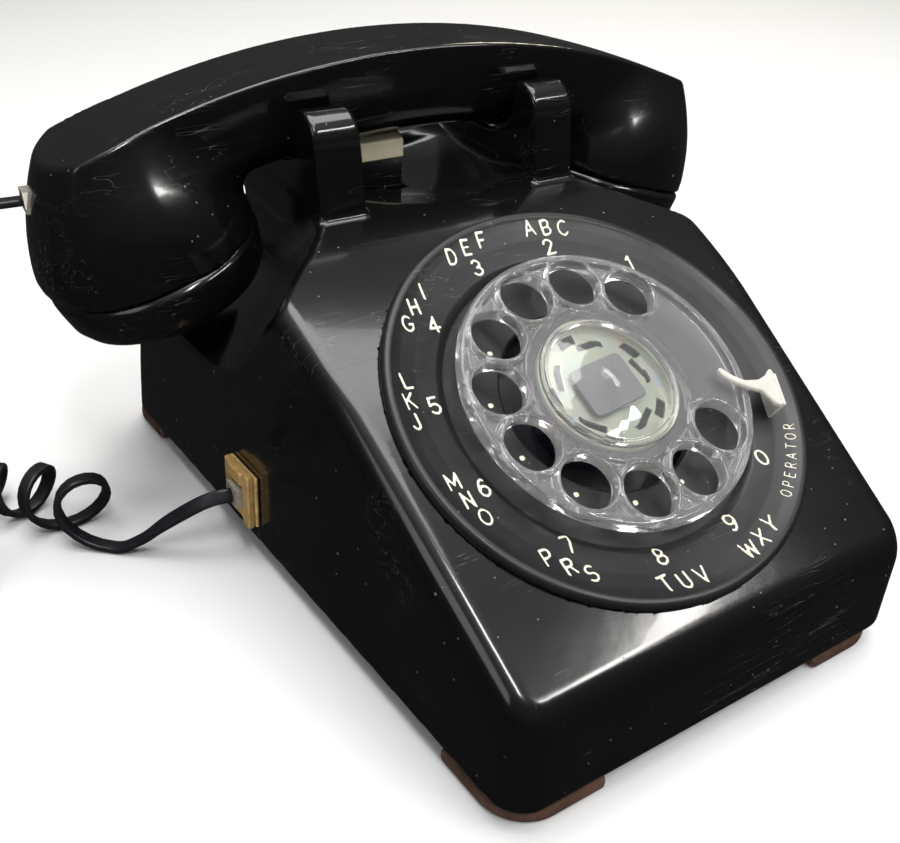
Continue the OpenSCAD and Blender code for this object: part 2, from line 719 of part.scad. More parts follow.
module receiver_unit() {
    color([0.62, 0.63, 0.66]) unit_solid(23.5, 17);
}
module transmitter_unit() {
    color([0.66, 0.6, 0.45]) mirror([1, 0, 0]) unit_solid(23.5, 13);
}
module handset_plug() {
    color([0.75, 0.73, 0.68, 0.5])
        translate([-plug_x, handset_y - 2, plug_z - 3]) cube([plug_depth, 6, 6]);
}

// Cord: a flat lead from the base jack, the curly section as one round tube, and a lead to the handset.
lead_r = cord_w / 2;
curl_r = curl_d / 2;
base_route = [[-81.7, 12, 22.5], [-85.5, 12.6, 22.7], [-90, 14.6, 21], [-95.5, 18, 16.8], [-101, 21.8, 11.8],
    [-106, 25.2, 6.6], [-110.5, 28.2, 3.2], [-115, 30.6, 2.4]];
curl_route = [[-115, 32, 8.7], [-118, 40, 8.7], [-123, 49, 8.7], [-131, 60, 8.7], [-142, 70, 8.7],
    [-156, 77, 8.7], [-171, 78, 8.7], [-185, 72, 8.7], [-193, 60, 8.7], [-193, 46, 8.7], [-185, 35, 8.9],
    [-173, 31, 12], [-162, 34, 20], [-155, 41, 33], [-151, 49, 49], [-149, 55, 65], [-148, 58, 80]];
hand_route = [[-148, 58.4, 81.2], [-147.4, 58.5, 88], [-144, 58.5, 96], [-138, 58.5, 101.4], [-131, 58.5, 103.4],
    [-123, 58.5, 103.2], [-114.4, 58.5, 103]];
tube_sides = 10;
function bez(p, i, t) =
    let (n = len(p) - 1, a = p[max(i - 1, 0)], b = p[i], c = p[min(i + 1, n)], d = p[min(i + 2, n)])
    0.5 * (2 * b + (c - a) * t + (2 * a - 5 * b + 4 * c - d) * t * t + (3 * b - a - 3 * c + d) * t * t * t);
function smooth(p, k) = concat([for (i = [0:len(p) - 2]) for (j = [0:k - 1]) bez(p, i, j / k)], [p[len(p) - 1]]);
function unit(v) = v / norm(v);
function way(p, i) = unit(p[min(i + 1, len(p) - 1)] - p[max(i - 1, 0)]);
function ring(p, i, r) =
    let (d = way(p, i), u = unit(cross(d, [0.5, 0.85, -0.1])), v = cross(d, u))
    [for (k = [0:tube_sides - 1]) p[i] + r * (cos(360 * k / tube_sides) * u + sin(360 * k / tube_sides) * v)];
module tube(route, r, k) {
    p = smooth(route, k);
    n = len(p);
    s = tube_sides;
    polyhedron(
        points = [for (i = [0:n - 1]) each ring(p, i, r)],
        faces = concat(
            [[for (j = [0:s - 1]) j]],
            [for (i = [0:n - 2]) for (j = [0:s - 1]) each [
                [i * s + j, (i + 1) * s + j, (i + 1) * s + (j + 1) % s],
                [i * s + j, (i + 1) * s + (j + 1) % s, i * s + (j + 1) % s]]],
            [[for (j = [s - 1:-1:0]) (n - 1) * s + j]]));
}
module cord_base_lead() {
    color([0.04, 0.04, 0.045]) tube(base_route, lead_r, 2);
}
module cord_curl() {
    color([0.04, 0.04, 0.045]) tube(curl_route, curl_r, 2);
}
module cord_hand_lead() {
    color([0.04, 0.04, 0.045]) tube(hand_route, lead_r, 2);
}

housing();
base_plate();
feet();
housing_screws();
number_plate();
finger_stop();
finger_wheel();
centre_window();
number_card();
dial_hub();
dial_shaft();
main_gear();
dial_frame();
idler_gear();
pulse_cam();
governor();
governor_cup();
pulse_springs();
motor_spring();
network_block();
terminal_board();
terminal_screws();
ringer_frame();
gong_front();
gong_back();
gong_screws();
ringer_coil();
clapper();
volume_wheel();
volume_pin();
switch_bracket();
switch_contacts();
plunger();
plunger_arm();
handset_jack();
line_jack();
base_plug();
handset_shell();
transmitter_cap();
receiver_cap();
transmitter_unit();
receiver_unit();
handset_plug();
cord_base_lead();
cord_curl();
cord_hand_lead();
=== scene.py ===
"""Rotary dial desk telephone in a studio. Shapes are worked out in millimetres and stored in metres."""
import json
from functools import reduce
from math import atan2, cos, hypot, pi, radians, sin, sqrt

import bmesh
import bpy
import numpy as np
from mathutils import Matrix, Vector


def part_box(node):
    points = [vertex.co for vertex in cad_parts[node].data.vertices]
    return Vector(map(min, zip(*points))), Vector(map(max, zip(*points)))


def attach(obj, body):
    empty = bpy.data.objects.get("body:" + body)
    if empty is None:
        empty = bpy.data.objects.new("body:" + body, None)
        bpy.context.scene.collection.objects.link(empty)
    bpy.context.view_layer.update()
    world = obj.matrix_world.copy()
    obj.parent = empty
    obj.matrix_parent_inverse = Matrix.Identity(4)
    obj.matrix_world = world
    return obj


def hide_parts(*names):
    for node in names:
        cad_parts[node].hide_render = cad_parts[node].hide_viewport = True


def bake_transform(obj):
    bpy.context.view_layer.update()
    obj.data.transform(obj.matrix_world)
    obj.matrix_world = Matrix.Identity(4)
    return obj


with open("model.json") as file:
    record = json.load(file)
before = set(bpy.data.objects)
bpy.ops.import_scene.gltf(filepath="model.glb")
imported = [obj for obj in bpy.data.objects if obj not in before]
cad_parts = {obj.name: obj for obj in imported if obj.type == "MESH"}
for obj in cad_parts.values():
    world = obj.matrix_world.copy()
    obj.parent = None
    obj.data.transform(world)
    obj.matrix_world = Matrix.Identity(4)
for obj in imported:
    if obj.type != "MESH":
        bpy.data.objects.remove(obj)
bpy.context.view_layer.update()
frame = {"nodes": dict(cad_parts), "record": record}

MM = 0.001


def box_mm(node):
    low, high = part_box(node)
    return [v / MM for v in low], [v / MM for v in high]


# ---------------------------------------------------------------- driving dimensions, in millimetres
HOUSE_LOW, HOUSE_HIGH = box_mm("housing")
FRONT_Y, BACK_Y, RIM_Z = HOUSE_LOW[1], HOUSE_HIGH[1], HOUSE_LOW[2]
FRONT_HALF = 64.3
SIDE_FLARE = 0.11
SIDE_LEAN = 0.063
WALL = 2.6
DECK_Z = 99.0
DIAL_TILT = radians(29.25)
DIAL_Y, DIAL_Z = -51.3, 68.5
ARM_IN, ARM_OUT = 29.2, 43.5
ARM_TIP = HOUSE_HIGH[2]
HAND_Y = 57.5
CROWN_Z = box_mm("handset_shell")[1][2]
CROWN_R = 275.0
HANDLE_T = 26.0
HAND_HALF = 115.7
HALF_DEPTH = 17.4
CAP_X, CAP_Z, CAP_R = 83.2, 84.0, 31.5
CAP_TILT = radians(17)
SADDLE_Z = CROWN_Z - HANDLE_T - 4.2


# ---------------------------------------------------------------- camera
def make_camera():
    """The viewpoint of the photograph: a little above, from the front left."""
    place = (-0.14164, -0.20349, 0.19354)
    azimuth, elevation, roll = radians(-32.1), radians(33.63), radians(1.74)
    back = Vector((sin(azimuth) * cos(elevation), -cos(azimuth) * cos(elevation), sin(elevation)))
    right = Vector((cos(azimuth), sin(azimuth), 0))
    up = back.cross(right)
    right, up = cos(roll) * right + sin(roll) * up, cos(roll) * up - sin(roll) * right
    data = bpy.data.cameras.new("camera")
    data.sensor_width = 36
    data.lens = 36.94
    data.clip_start = 0.01
    camera = bpy.data.objects.new("camera", data)
    turn = Matrix((right, up, back)).transposed().to_4x4()
    camera.matrix_world = Matrix.Translation(place) @ turn
    bpy.context.scene.collection.objects.link(camera)
    bpy.context.scene.camera = camera


# ---------------------------------------------------------------- mesh helpers
def add_mesh(name, points, faces, finish, body, smooth=True, normals=None):
    """A mesh piece from points in millimetres, riding on a body, with one of the finishes in MATERIALS."""
    mesh = bpy.data.meshes.new(name)
    points = np.asarray(points, float) * MM
    mesh.from_pydata(points.tolist(), [], [list(f) for f in faces])
    mesh.polygons.foreach_set("use_smooth", [smooth] * len(mesh.polygons))
    mesh.update()
    if normals is not None:
        mesh.normals_split_custom_set_from_vertices(normals.tolist())
    piece = bpy.data.objects.new(name, mesh)
    bpy.context.scene.collection.objects.link(piece)
    mesh.materials.append(MATERIALS[finish])
    if body:
        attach(piece, body)
    return piece


def dial_frame():
    """Matrix from the dial's own frame, face level, to the telephone's frame."""
    return Matrix.Translation((0, DIAL_Y, DIAL_Z)) @ Matrix.Rotation(DIAL_TILT, 4, "X")


def cap_frame(side):
    """Matrix from a cap's own frame, with Z along its axis into the handset."""
    return Matrix.Translation((side * CAP_X, HAND_Y, CAP_Z)) @ Matrix.Rotation(side * CAP_TILT, 4, "Y")


def moved(points, matrix):
    turn = np.array(matrix.to_3x3())
    return np.asarray(points, float) @ turn.T + np.array(matrix.translation)


def bow(cx, cy, rx, ry, a0, a1, n=14):
    """Points along part of an ellipse, between two angles in degrees."""
    steps = [radians(a0 + (a1 - a0) * i / n) for i in range(n + 1)]
    return [(cx + rx * cos(a), cy + ry * sin(a)) for a in steps]


def lathe(profile, sides):
    """Points and faces of a profile of (radius, height) turned about Z."""
    points, faces, n = [], [], len(profile)
    for k in range(sides):
        c, s = cos(2 * pi * k / sides), sin(2 * pi * k / sides)
        points += [(r * c, r * s, h) for r, h in profile]
    for k in range(sides):
        a, b = k * n, (k + 1) % sides * n
        for i in range(n):
            j = (i + 1) % n
            faces.append((a + i, b + i, b + j, a + j))
    return points, faces


def weld_and_shade(piece, angle):
    """Joins double points and shades smooth up to an angle."""
    bm = bmesh.new()
    bm.from_mesh(piece.data)
    bmesh.ops.remove_doubles(bm, verts=bm.verts, dist=1e-6)
    bmesh.ops.dissolve_degenerate(bm, edges=bm.edges, dist=1e-7)
    bmesh.ops.recalc_face_normals(bm, faces=bm.faces)
    bm.to_mesh(piece.data)
    bm.free()
    piece.data.set_sharp_from_angle(angle=radians(angle))


def rounded(profile, radius, steps=3):
    """The same open or closed profile with its corners rounded off."""
    out, n = [], len(profile)
    for i, p in enumerate(profile):
        a, b = Vector(profile[i - 1]), Vector(profile[(i + 1) % n])
        p = Vector(p)
        u, v = a - p, b - p
        cut = min(radius, 0.45 * u.length, 0.45 * v.length)
        if cut < 0.02:
            out.append(tuple(p))
            continue
        start, end = p + u.normalized() * cut, p + v.normalized() * cut
        for k in range(steps + 1):
            t = k / steps
            q = start * (1 - t) ** 2 + p * 2 * t * (1 - t) + end * t ** 2
            out.append(tuple(q))
    return out


# ---------------------------------------------------------------- solids as signed distances
def both(r, *parts):
    """Where all the solids overlap, with the edges between them rounded by r."""
    if r <= 0:
        return reduce(np.maximum, parts)
    outer = reduce(np.maximum, parts)
    spill = sum(np.maximum(p + r, 0) ** 2 for p in parts)
    return np.minimum(outer + r, 0) + np.sqrt(spill) - r


def either(r, *parts):
    """The solids joined, with a fillet of radius r where they meet."""
    return -both(r, *[-p for p in parts])


def without(r, part, cut):
    return both(r, part, -cut)


def slab(value, low, high):
    """Distance to the space between two parallel planes."""
    return np.maximum(low - value, value - high)


def outline_distance(outline, a, b):
    """Signed distance from (a, b) to a closed outline, negative inside."""
    near, sign = np.inf, 1.0
    for (x0, y0), (x1, y1) in zip(outline, outline[1:] + outline[:1]):
        ex, ey, wx, wy = x1 - x0, y1 - y0, a - x0, b - y0
        t = np.clip((wx * ex + wy * ey) / (ex * ex + ey * ey), 0, 1)
        near = np.minimum(near, (wx - ex * t) ** 2 + (wy - ey * t) ** 2)
        above, below, left = b >= y0, b < y1, ex * wy > ey * wx
        flip = (above & below & left) | (~above & ~below & ~left)
        sign = np.where(flip, -sign, sign)
    return sign * np.sqrt(near)


def ease(t):
    t = np.clip(t, 0, 1)
    return t * t * (3 - 2 * t)


def slope_of(shape, p):
    """Gradient of a distance function at points."""
    reach = 0.03
    grad = np.empty_like(p)
    for axis in range(3):
        step = np.zeros(3)
        step[axis] = reach
        up, down = p + step, p - step
        grad[:, axis] = (shape(up[:, 0], up[:, 1], up[:, 2]) - shape(down[:, 0], down[:, 1], down[:, 2]))
    return grad / (2 * reach)


def skin(shape, low, high, step):
    """Points, quads and normals of the surface where shape is zero."""
    axes = [np.arange(low[i], high[i] + step, step) for i in range(3)]
    n = [len(a) for a in axes]
    value = np.broadcast_to(
        shape(axes[0][:, None, None], axes[1][None, :, None], axes[2][None, None, :]), n)
    corners = [(i, j, k) for i in (0, 1) for j in (0, 1) for k in (0, 1)]
    filled = value < 0
    count = sum(filled[i:n[0] - 1 + i, j:n[1] - 1 + j, k:n[2] - 1 + k].astype(np.int8) for i, j, k in corners)
    cells = np.argwhere((count > 0) & (count < 8))
    number = -np.ones([m - 1 for m in n], np.int64)
    number[cells[:, 0], cells[:, 1], cells[:, 2]] = np.arange(len(cells))
    total, hits = np.zeros((len(cells), 3)), np.zeros(len(cells))
    for axis in range(3):
        for a in corners:
            if a[axis]:
                continue
            b = list(a)
            b[axis] = 1
            va = value[cells[:, 0] + a[0], cells[:, 1] + a[1], cells[:, 2] + a[2]]
            vb = value[cells[:, 0] + b[0], cells[:, 1] + b[1], cells[:, 2] + b[2]]
            crossed = (va < 0) != (vb < 0)
            t = np.where(crossed, va / np.where(crossed, va - vb, 1), 0)
            spot = np.tile(np.array(a, float), (len(cells), 1))
            spot[:, axis] = t
            total[crossed] += spot[crossed]
            hits += crossed
    p = np.array(low) + step * (cells + total / hits[:, None])
    for _ in range(5):
        grad = slope_of(shape, p)
        size = np.maximum((grad ** 2).sum(1), 0.05)
        move = (shape(p[:, 0], p[:, 1], p[:, 2]) / size)[:, None] * grad
        p -= np.clip(move, -0.5 * step, 0.5 * step)
    grad = slope_of(shape, p)
    normals = grad / np.maximum(np.linalg.norm(grad, axis=1), 1e-9)[:, None]
    faces = []
    for axis in range(3):
        u, v = (axis + 1) % 3, (axis + 2) % 3
        first = [slice(1, m - 1) for m in n]
        first[axis] = slice(0, n[axis] - 1)
        second = list(first)
        second[axis] = slice(1, n[axis])
        a, b = filled[tuple(first)], filled[tuple(second)]
        edge = np.argwhere(a != b)
        flip = a[edge[:, 0], edge[:, 1], edge[:, 2]]
        start = edge + np.array([0 if i == axis else 1 for i in range(3)])
        ring = []
        for du, dv in ((0, 0), (-1, 0), (-1, -1), (0, -1)):
            c = start.copy()
            c[:, u] += du
            c[:, v] += dv
            ring.append(number[c[:, 0], c[:, 1], c[:, 2]])
        quad = np.stack(ring, 1)
        faces.append(np.where(flip[:, None], quad, quad[:, ::-1]))
    return p, np.concatenate(faces), normals


def skin_piece(name, shape, low, high, step, finish, body, matrix=None):
    p, faces, normals = skin(shape, low, high, step)
    if matrix is not None:
        normals = normals @ np.array(matrix.to_3x3()).T
        p = moved(p, matrix)
    return add_mesh(name, p, faces.tolist(), finish, body, normals=normals)




# ---------------------------------------------------------------- housing
EAR_R = 8.8
FRONT_ROUND, BACK_ROUND, BROW_ROUND, CREST_ROUND, TOP_ROUND = 9, 16, 24, 26, 5.5
FRONT_LEAN = 0.012
# Points on the sloping back, on the facets beside the arms and on the shelves under the cups.
BACK_SLOPE_Y, BACK_SLOPE_Z = 107, 36
FACET_Y, FACET_Z = 23, 97
SHELF_X, SHELF_Z = 75, 56
# The hollow pressed into the deck between the arms, part of a ball, and the rim behind it.
BOWL_R, BOWL_Y, BOWL_UP = 101.3, 51, 94.3
CREST_Y, CREST_UP = (77.5, 88.5), 1.3
DIAL_HOLE_R = 57.7
JACK_Y, JACK_Z = 12.5, 22.5
JACK_HALF = 6.5
LINE_HALF, LINE_Z = 9.2, (10.3, 24.7)
PLUNGER_LOW, PLUNGER_HIGH = box_mm("plunger")


def side_x(y, z):
    return FRONT_HALF + SIDE_FLARE * (y - FRONT_Y) - SIDE_LEAN * (z - RIM_Z)


def cradle_outline():
    """Side outline of one cradle arm: front ear, saddle, back ear."""
    y, t, b = HAND_Y - 35, ARM_TIP, SADDLE_Z
    front = [(y + 0.5, DECK_Z - 12), (y + 0.5, DECK_Z - 2), (y + 3, t - 8.3)]
    front += bow(y + 12, t - EAR_R, EAR_R, EAR_R, 172, 90, 8)
    front += [(y + 14.6, t - 0.5), (y + 15.2, t - 2.4), (y + 16.4, b + 9), (y + 19.5, b + 4.4)]
    front += [(y + 25, b + 1.2), (y + 31, b)]
    back = [(2 * (y + 35) - a, h) for a, h in reversed(front[1:])]
    return front + back + [(y + 69.5, DECK_Z - 12)]


def housing_shape(x, y, z):
    """Distance to the moulded housing's wall."""
    half = abs(x)
    c, s = cos(DIAL_TILT), sin(DIAL_TILT)
    side = (half - side_x(y, z)) / sqrt(1 + SIDE_FLARE ** 2 + SIDE_LEAN ** 2)
    front = FRONT_Y - y + FRONT_LEAN * (z - RIM_Z)
    face = -(y - DIAL_Y) * s + (z - DIAL_Z) * c
    deck = z - DECK_Z
    back_slope = 0.925 * (y - BACK_SLOPE_Y) + 0.381 * (z - BACK_SLOPE_Z)
    back = both(CREST_ROUND, back_slope, y - BACK_Y)
    walls = np.maximum(both(FRONT_ROUND, side, front), both(BACK_ROUND, side, back))
    top = both(BROW_ROUND, face, deck)
    block = both(TOP_ROUND, walls, top)
    # Room for the handset's cups beside the arms.
    facet = 0.700 * (half - ARM_OUT) + 0.447 * (y - FACET_Y) + 0.557 * (z - FACET_Z)
    shelf = sin(CAP_TILT) * (half - SHELF_X) + cos(CAP_TILT) * (z - SHELF_Z)
    scoop = both(5, -facet, -shelf, ARM_OUT - half)
    block = without(1.6, block, scoop)
    ball = np.sqrt(x ** 2 + (y - BOWL_Y) ** 2 + (z - DECK_Z - BOWL_UP) ** 2) - BOWL_R
    block = without(1.0, block, both(1.2, ball, half - ARM_IN))
    crest = both(4, half - ARM_IN - 3, slab(y, *CREST_Y), slab(z, 80, DECK_Z + CREST_UP))
    block = either(3, block, crest)
    arm = both(1.3, outline_distance(CRADLE, y, z), slab(half, ARM_IN, ARM_OUT))
    outer = either(1.8, block, arm)
    wall = both(0.4, outer, -(outer + WALL))
    wall = both(1.2, wall, RIM_Z - z)
    up_slope = (y - DIAL_Y) * c + (z - DIAL_Z) * s
    dial_hole = np.sqrt(x ** 2 + up_slope ** 2) - DIAL_HOLE_R
    wall = without(0.6, wall, dial_hole)
    plunger = both(0, abs(x - PLUNGER_X) - PLUNGER_HALF, abs(y - PLUNGER_Y) - 3.5, DECK_Z - 20 - z)
    jack = both(0, slab(x, -100, -65), slab(y, JACK_Y - JACK_HALF, JACK_Y + JACK_HALF),
                slab(z, JACK_Z - JACK_HALF, JACK_Z + JACK_HALF))
    line = both(0, slab(x, LINE_X - LINE_HALF, LINE_X + LINE_HALF), 95 - y, slab(z, *LINE_Z))
    loud = both(0, slab(x, 60, 100), slab(y, 40, 55), slab(z, RIM_Z + 3, RIM_Z + 7))
    for cut in (plunger, jack, line, loud):
        wall = without(0.3, wall, cut)
    return wall


CRADLE = cradle_outline()
PLUNGER_X, PLUNGER_Y = [(PLUNGER_LOW[i] + PLUNGER_HIGH[i]) / 2 for i in (0, 1)]
PLUNGER_HALF = (PLUNGER_HIGH[0] - PLUNGER_LOW[0]) / 2 + 0.5
LINE_X = sum(v[0] for v in box_mm("line_jack")) / 2


def make_housing():
    low = [HOUSE_LOW[0] - 3, FRONT_Y - 3, RIM_Z - 3]
    high = [HOUSE_HIGH[0] + 3, BACK_Y + 3, ARM_TIP + 3]
    piece = skin_piece("housing_moulding", housing_shape, low, high, 1.3, "black_plastic", "base")
    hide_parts("housing")


# ---------------------------------------------------------------- handset
CUP_R, CUP_DOME = 31.6, 0.0117
END_R = 30
CROWN_SIDE_R = 320
# Where the narrow grip ends, over what length it widens, and how much its sides draw in.
GRIP_END, GRIP_BLEND, GRIP_DRAFT = 42, 60, 0.13
# How much the shoulders widen, from what height and over what drop.
SHOULDER_OUT, SHOULDER_Z, SHOULDER_DROP = 3.9, 117, 22
# Height at which the handset's ends reach furthest out, and that of its cord socket.
END_Z, SOCKET_Z = 83, 103


def cup_axes(x, y, z):
    """Height along the nearer cup's axis and distance from it."""
    a, b = abs(x) - CAP_X, z - CAP_Z
    height = a * sin(CAP_TILT) + b * cos(CAP_TILT)
    across = a * cos(CAP_TILT) - b * sin(CAP_TILT)
    return height, np.sqrt(across ** 2 + (y - HAND_Y) ** 2)


def cup_radius(height):
    """Domed barrel behind a cap: narrower the further it is from the cap."""
    return CUP_R - CUP_DOME * np.maximum(height, 0) ** 2


def handset_shape(x, y, z):
    """Distance to the handset's body: crowned handle, square shoulders, two domed cups."""
    far, deep = abs(x), abs(y - HAND_Y)
    depth = CROWN_R - np.sqrt(x ** 2 + (z - CROWN_Z + CROWN_R) ** 2)
    crown = deep ** 2 / (2 * CROWN_SIDE_R) - depth
    spread = ease((far - GRIP_END) / GRIP_BLEND)
    side = deep - HALF_DEPTH + GRIP_DRAFT * np.maximum(depth - 5, 0) * (1 - spread)
    height, radius = cup_axes(x, y, z)
    reach = HAND_HALF - 0.0070 * np.maximum(z - END_Z, 0) ** 2 - 0.02 * np.minimum(z - END_Z, 0) ** 2
    end = np.sqrt(np.maximum(far - reach + END_R, 0) ** 2 + deep ** 2) - END_R
    handle = both(9, side, depth - HANDLE_T)
    barrel = both(0.5, radius - cup_radius(height), -height)
    ridge = deep - HALF_DEPTH - SHOULDER_OUT * ease((SHOULDER_Z - z) / SHOULDER_DROP)
    shoulder = both(0.7, ridge, end + 0.1, 88 - far, 2 - height)
    body = either(7, handle, barrel)
    body = either(0.8, body, shoulder)
    body = both(1.0, body, crown, end - 0.25)
    hollow = both(1, radius - cup_radius(height) + 3.3, height - 24)
    socket = both(0.6, abs(y - HAND_Y - 1) - 3.3, abs(z - SOCKET_Z) - 3.3, x + 105)
    return without(0.4, without(0.5, body, hollow), socket)


def make_handset():
    low = [-HAND_HALF - 3, HAND_Y - 36, CAP_Z - 14]
    high = [HAND_HALF + 3, HAND_Y + 36, CROWN_Z + 3]
    step = 1.0
    piece = skin_piece("handset_body", handset_shape, low, high, step, "handset_black", "handset")
    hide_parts("handset_shell")


def cap_profile():
    """Cap turned from its chamfered upper lip to its dished lower face."""
    r = CAP_R
    outer = [(0, -14.4), (12, -14.6), (19, -15.4), (22.4, -16), (25.6, -15.6), (28.6, -13.6),
             (30.5, -10.5), (r - 0.2, -6), (r + 0.1, -3.4), (r + 0.2, -2.2), (r + 0.05, -1.7),
             (r - 1.1, -0.5), (r - 1.6, -0.3)]
    inner = [(r - 3, -0.3), (r - 3, -6), (r - 4.2, -11), (r - 7, -12.8), (0, -12.8)]
    return outer + inner


def make_cap(name, node, side, rings):
    """A turned cap and its sound holes: how many in each ring, and the ring's radius."""
    points, faces = lathe(cap_profile(), 128)
    piece = add_mesh(name, moved(points, cap_frame(side)), faces, "handset_black", "handset")
    weld_and_shade(piece, 30)
    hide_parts(node)
    # Each hole is a shallow near-black well in the dished face: painted shade standing for the dark inside of
    # the hole.
    turns = [(ring, 2 * pi * k / count) for count, ring in rings for k in range(count)]
    well, quads = lathe([(0, -0.1), (0.95, -0.1), (1.15, -0.35), (0, -0.35)], 14)
    spots, wells = [], []
    for ring, a in turns:
        start = len(spots)
        spots += [(p[0] + ring * cos(a), p[1] + ring * sin(a), p[2] - 14.35) for p in well]
        wells += [tuple(start + i for i in q) for q in quads]
    holes = add_mesh(name + "_holes", moved(spots, cap_frame(side)), wells, "hole_shade_black", "handset")
    weld_and_shade(holes, 30)


# ---------------------------------------------------------------- materials
class Nodes:
    """A short way to write the nodes of a material, or of a world handed in."""

    def __init__(self, name, world=None):
        self.material = world or bpy.data.materials.new(name)
        self.material.use_nodes = True
        self.tree = self.material.node_tree
        self.tree.nodes.clear()
        self.shader = self.add("ShaderNodeBackground" if world else "ShaderNodeBsdfPrincipled")
        out = self.add("ShaderNodeOutputWorld" if world else "ShaderNodeOutputMaterial")
        self.tree.links.new(self.shader.outputs[0], out.inputs[0])
        self.place = self.add("ShaderNodeTexCoord").outputs["Generated" if world else "Object"]

    def add(self, kind, **settings):
        node = self.tree.nodes.new(kind)
        for key, value in settings.items():
            setattr(node, key, value)
        return node

    def feed(self, node, socket, value):
        if isinstance(value, bpy.types.NodeSocket):
            self.tree.links.new(value, node.inputs[socket])
        elif value is not None:
            node.inputs[socket].default_value = value

    def set(self, **values):
        for key, value in values.items():
            self.feed(self.shader, key.replace("_", " "), value)

    def math(self, operation, a, b=0.0, c=None, clamp=False):
        node = self.add("ShaderNodeMath", operation=operation, use_clamp=clamp)
        for i, value in enumerate((a, b) if c is None else (a, b, c)):
            self.feed(node, i, value)
        return node.outputs[0]

    def stretch(self, size, turn=(0, 0, 0)):
        node = self.add("ShaderNodeMapping")
        node.inputs["Scale"].default_value = size
        node.inputs["Rotation"].default_value = turn
        self.feed(node, "Vector", self.place)
        return node.outputs[0]

    def noise(self, scale, detail=3.0, rough=0.5, where=None, warp=0.0):
        node = self.add("ShaderNodeTexNoise")
        values = (where or self.place, scale, detail, rough, warp)
        for socket, value in zip(("Vector", "Scale", "Detail", "Roughness", "Distortion"), values):
            self.feed(node, socket, value)
        return node.outputs[0]

    def cells(self, scale):
        node = self.add("ShaderNodeTexVoronoi")
        self.feed(node, "Vector", self.place)
        self.feed(node, "Scale", scale)
        return node.outputs["Distance"], node.outputs["Color"]

    def band(self, value, low, high, out_low=0.0, out_high=1.0):
        node = self.add("ShaderNodeMapRange")
        for i, number in enumerate((value, low, high, out_low, out_high)):
            self.feed(node, i, number)
        return node.outputs[0]

    def mix(self, share, a, b):
        node = self.add("ShaderNodeMix", data_type="RGBA")
        for socket, value in ((0, share), (6, a), (7, b)):
            self.feed(node, socket, value)
        return node.outputs[2]

    def bump(self, height, strength, distance, under=None):
        node = self.add("ShaderNodeBump")
        values = (("Strength", strength), ("Distance", distance), ("Height", height), ("Normal", under))
        for socket, value in values:
            self.feed(node, socket, value)
        return node.outputs[0]

    def specks(self, scale, size, share):
        """White where a few of the cells have a dot of that size."""
        distance, colour = self.cells(scale)
        split = self.add("ShaderNodeSeparateColor")
        self.feed(split, 0, colour)
        dot = self.band(distance, size, size * 0.55)
        chosen = self.math("GREATER_THAN", split.outputs[0], 1 - share)
        return self.math("MULTIPLY", dot, chosen)

    def scratches(self, scale, turn, fine=0.006, share=0.55):
        """Thin lines where a stretched noise crosses its middle, kept in patches."""
        long_way = self.stretch((scale * 0.07, scale, scale), turn)
        line = self.math("ABSOLUTE", self.math("SUBTRACT", self.noise(1.0, 2, 0.5, long_way, 0.3), 0.5))
        patch = self.noise(scale * 0.12, 2, 0.5)
        kept = self.band(patch, share, share + 0.08)
        return self.math("MULTIPLY", self.band(line, fine, 0.0), kept)

    def ramp(self, value, stops):
        """Colour of a ramp whose stops are each a place and a colour."""
        node = self.add("ShaderNodeValToRGB")
        self.feed(node, 0, value)
        elements = node.color_ramp.elements
        while len(elements) < len(stops):
            elements.new(0.5)
        for element, (spot, colour) in zip(elements, stops):
            element.position = spot
            element.color = rgb(*colour)
        return node.outputs[0]

    def worn_edges(self, low, high):
        """White on convex edges, broken up by noise."""
        sharp = self.add("ShaderNodeNewGeometry").outputs["Pointiness"]
        rough = self.noise(900, 3, 0.6)
        return self.math("MULTIPLY", self.band(sharp, low, high), self.band(rough, 0.42, 0.62))


def rgb(r, g, b):
    return (r, g, b, 1.0)


def black_plastic(name="black_plastic", roughness=0.13, dust=1.0):
    """Polished black moulding with orange peel, dust, fine scratches and rubbed edges."""
    m = Nodes(name)
    film = m.noise(38, 5, 0.6)
    smear = m.noise(9, 3, 0.55, m.stretch((1, 2.4, 1), (0.3, 0.2, 0.9)))
    fine = m.specks(520, 0.16, 0.05 * dust)
    coarse = m.specks(170, 0.085, 0.07 * dust)
    lint = m.scratches(260, (0.4, 0.7, 1.1), 0.005, 0.57)
    marks = m.scratches(420, (1.2, 0.2, 0.5), 0.0035, 0.56)
    rubbed = m.worn_edges(0.545, 0.62)
    pale = m.math("MAXIMUM", m.math("MAXIMUM", fine, coarse), m.math("MULTIPLY", lint, 0.5))
    pale = m.math("MAXIMUM", pale, m.math("MULTIPLY", marks, 0.35))
    base = m.mix(m.math("MULTIPLY", film, 0.3), rgb(0.0028, 0.0029, 0.0033), rgb(0.008, 0.0078, 0.0075))
    base = m.mix(m.math("MULTIPLY", rubbed, 0.35), base, rgb(0.06, 0.055, 0.05))
    m.set(Base_Color=m.mix(m.math("MULTIPLY", pale, 0.42), base, rgb(0.42, 0.40, 0.37)))
    gloss = m.band(smear, 0.3, 0.75, roughness * 0.75, roughness * 1.6)
    gloss = m.math("MULTIPLY_ADD", film, 0.04, gloss)
    m.set(Roughness=m.math("MULTIPLY_ADD", pale, 0.3, gloss, clamp=True), IOR=1.5)
    peel = m.bump(m.noise(210, 2, 0.45), 0.10, 0.0003)
    scored = m.bump(m.math("MAXIMUM", marks, lint), -0.22, 0.00006, peel)
    m.set(Normal=m.bump(pale, 0.25, 0.00008, scored), Coat_Weight=0.25, Coat_Roughness=0.04)
    return m.material


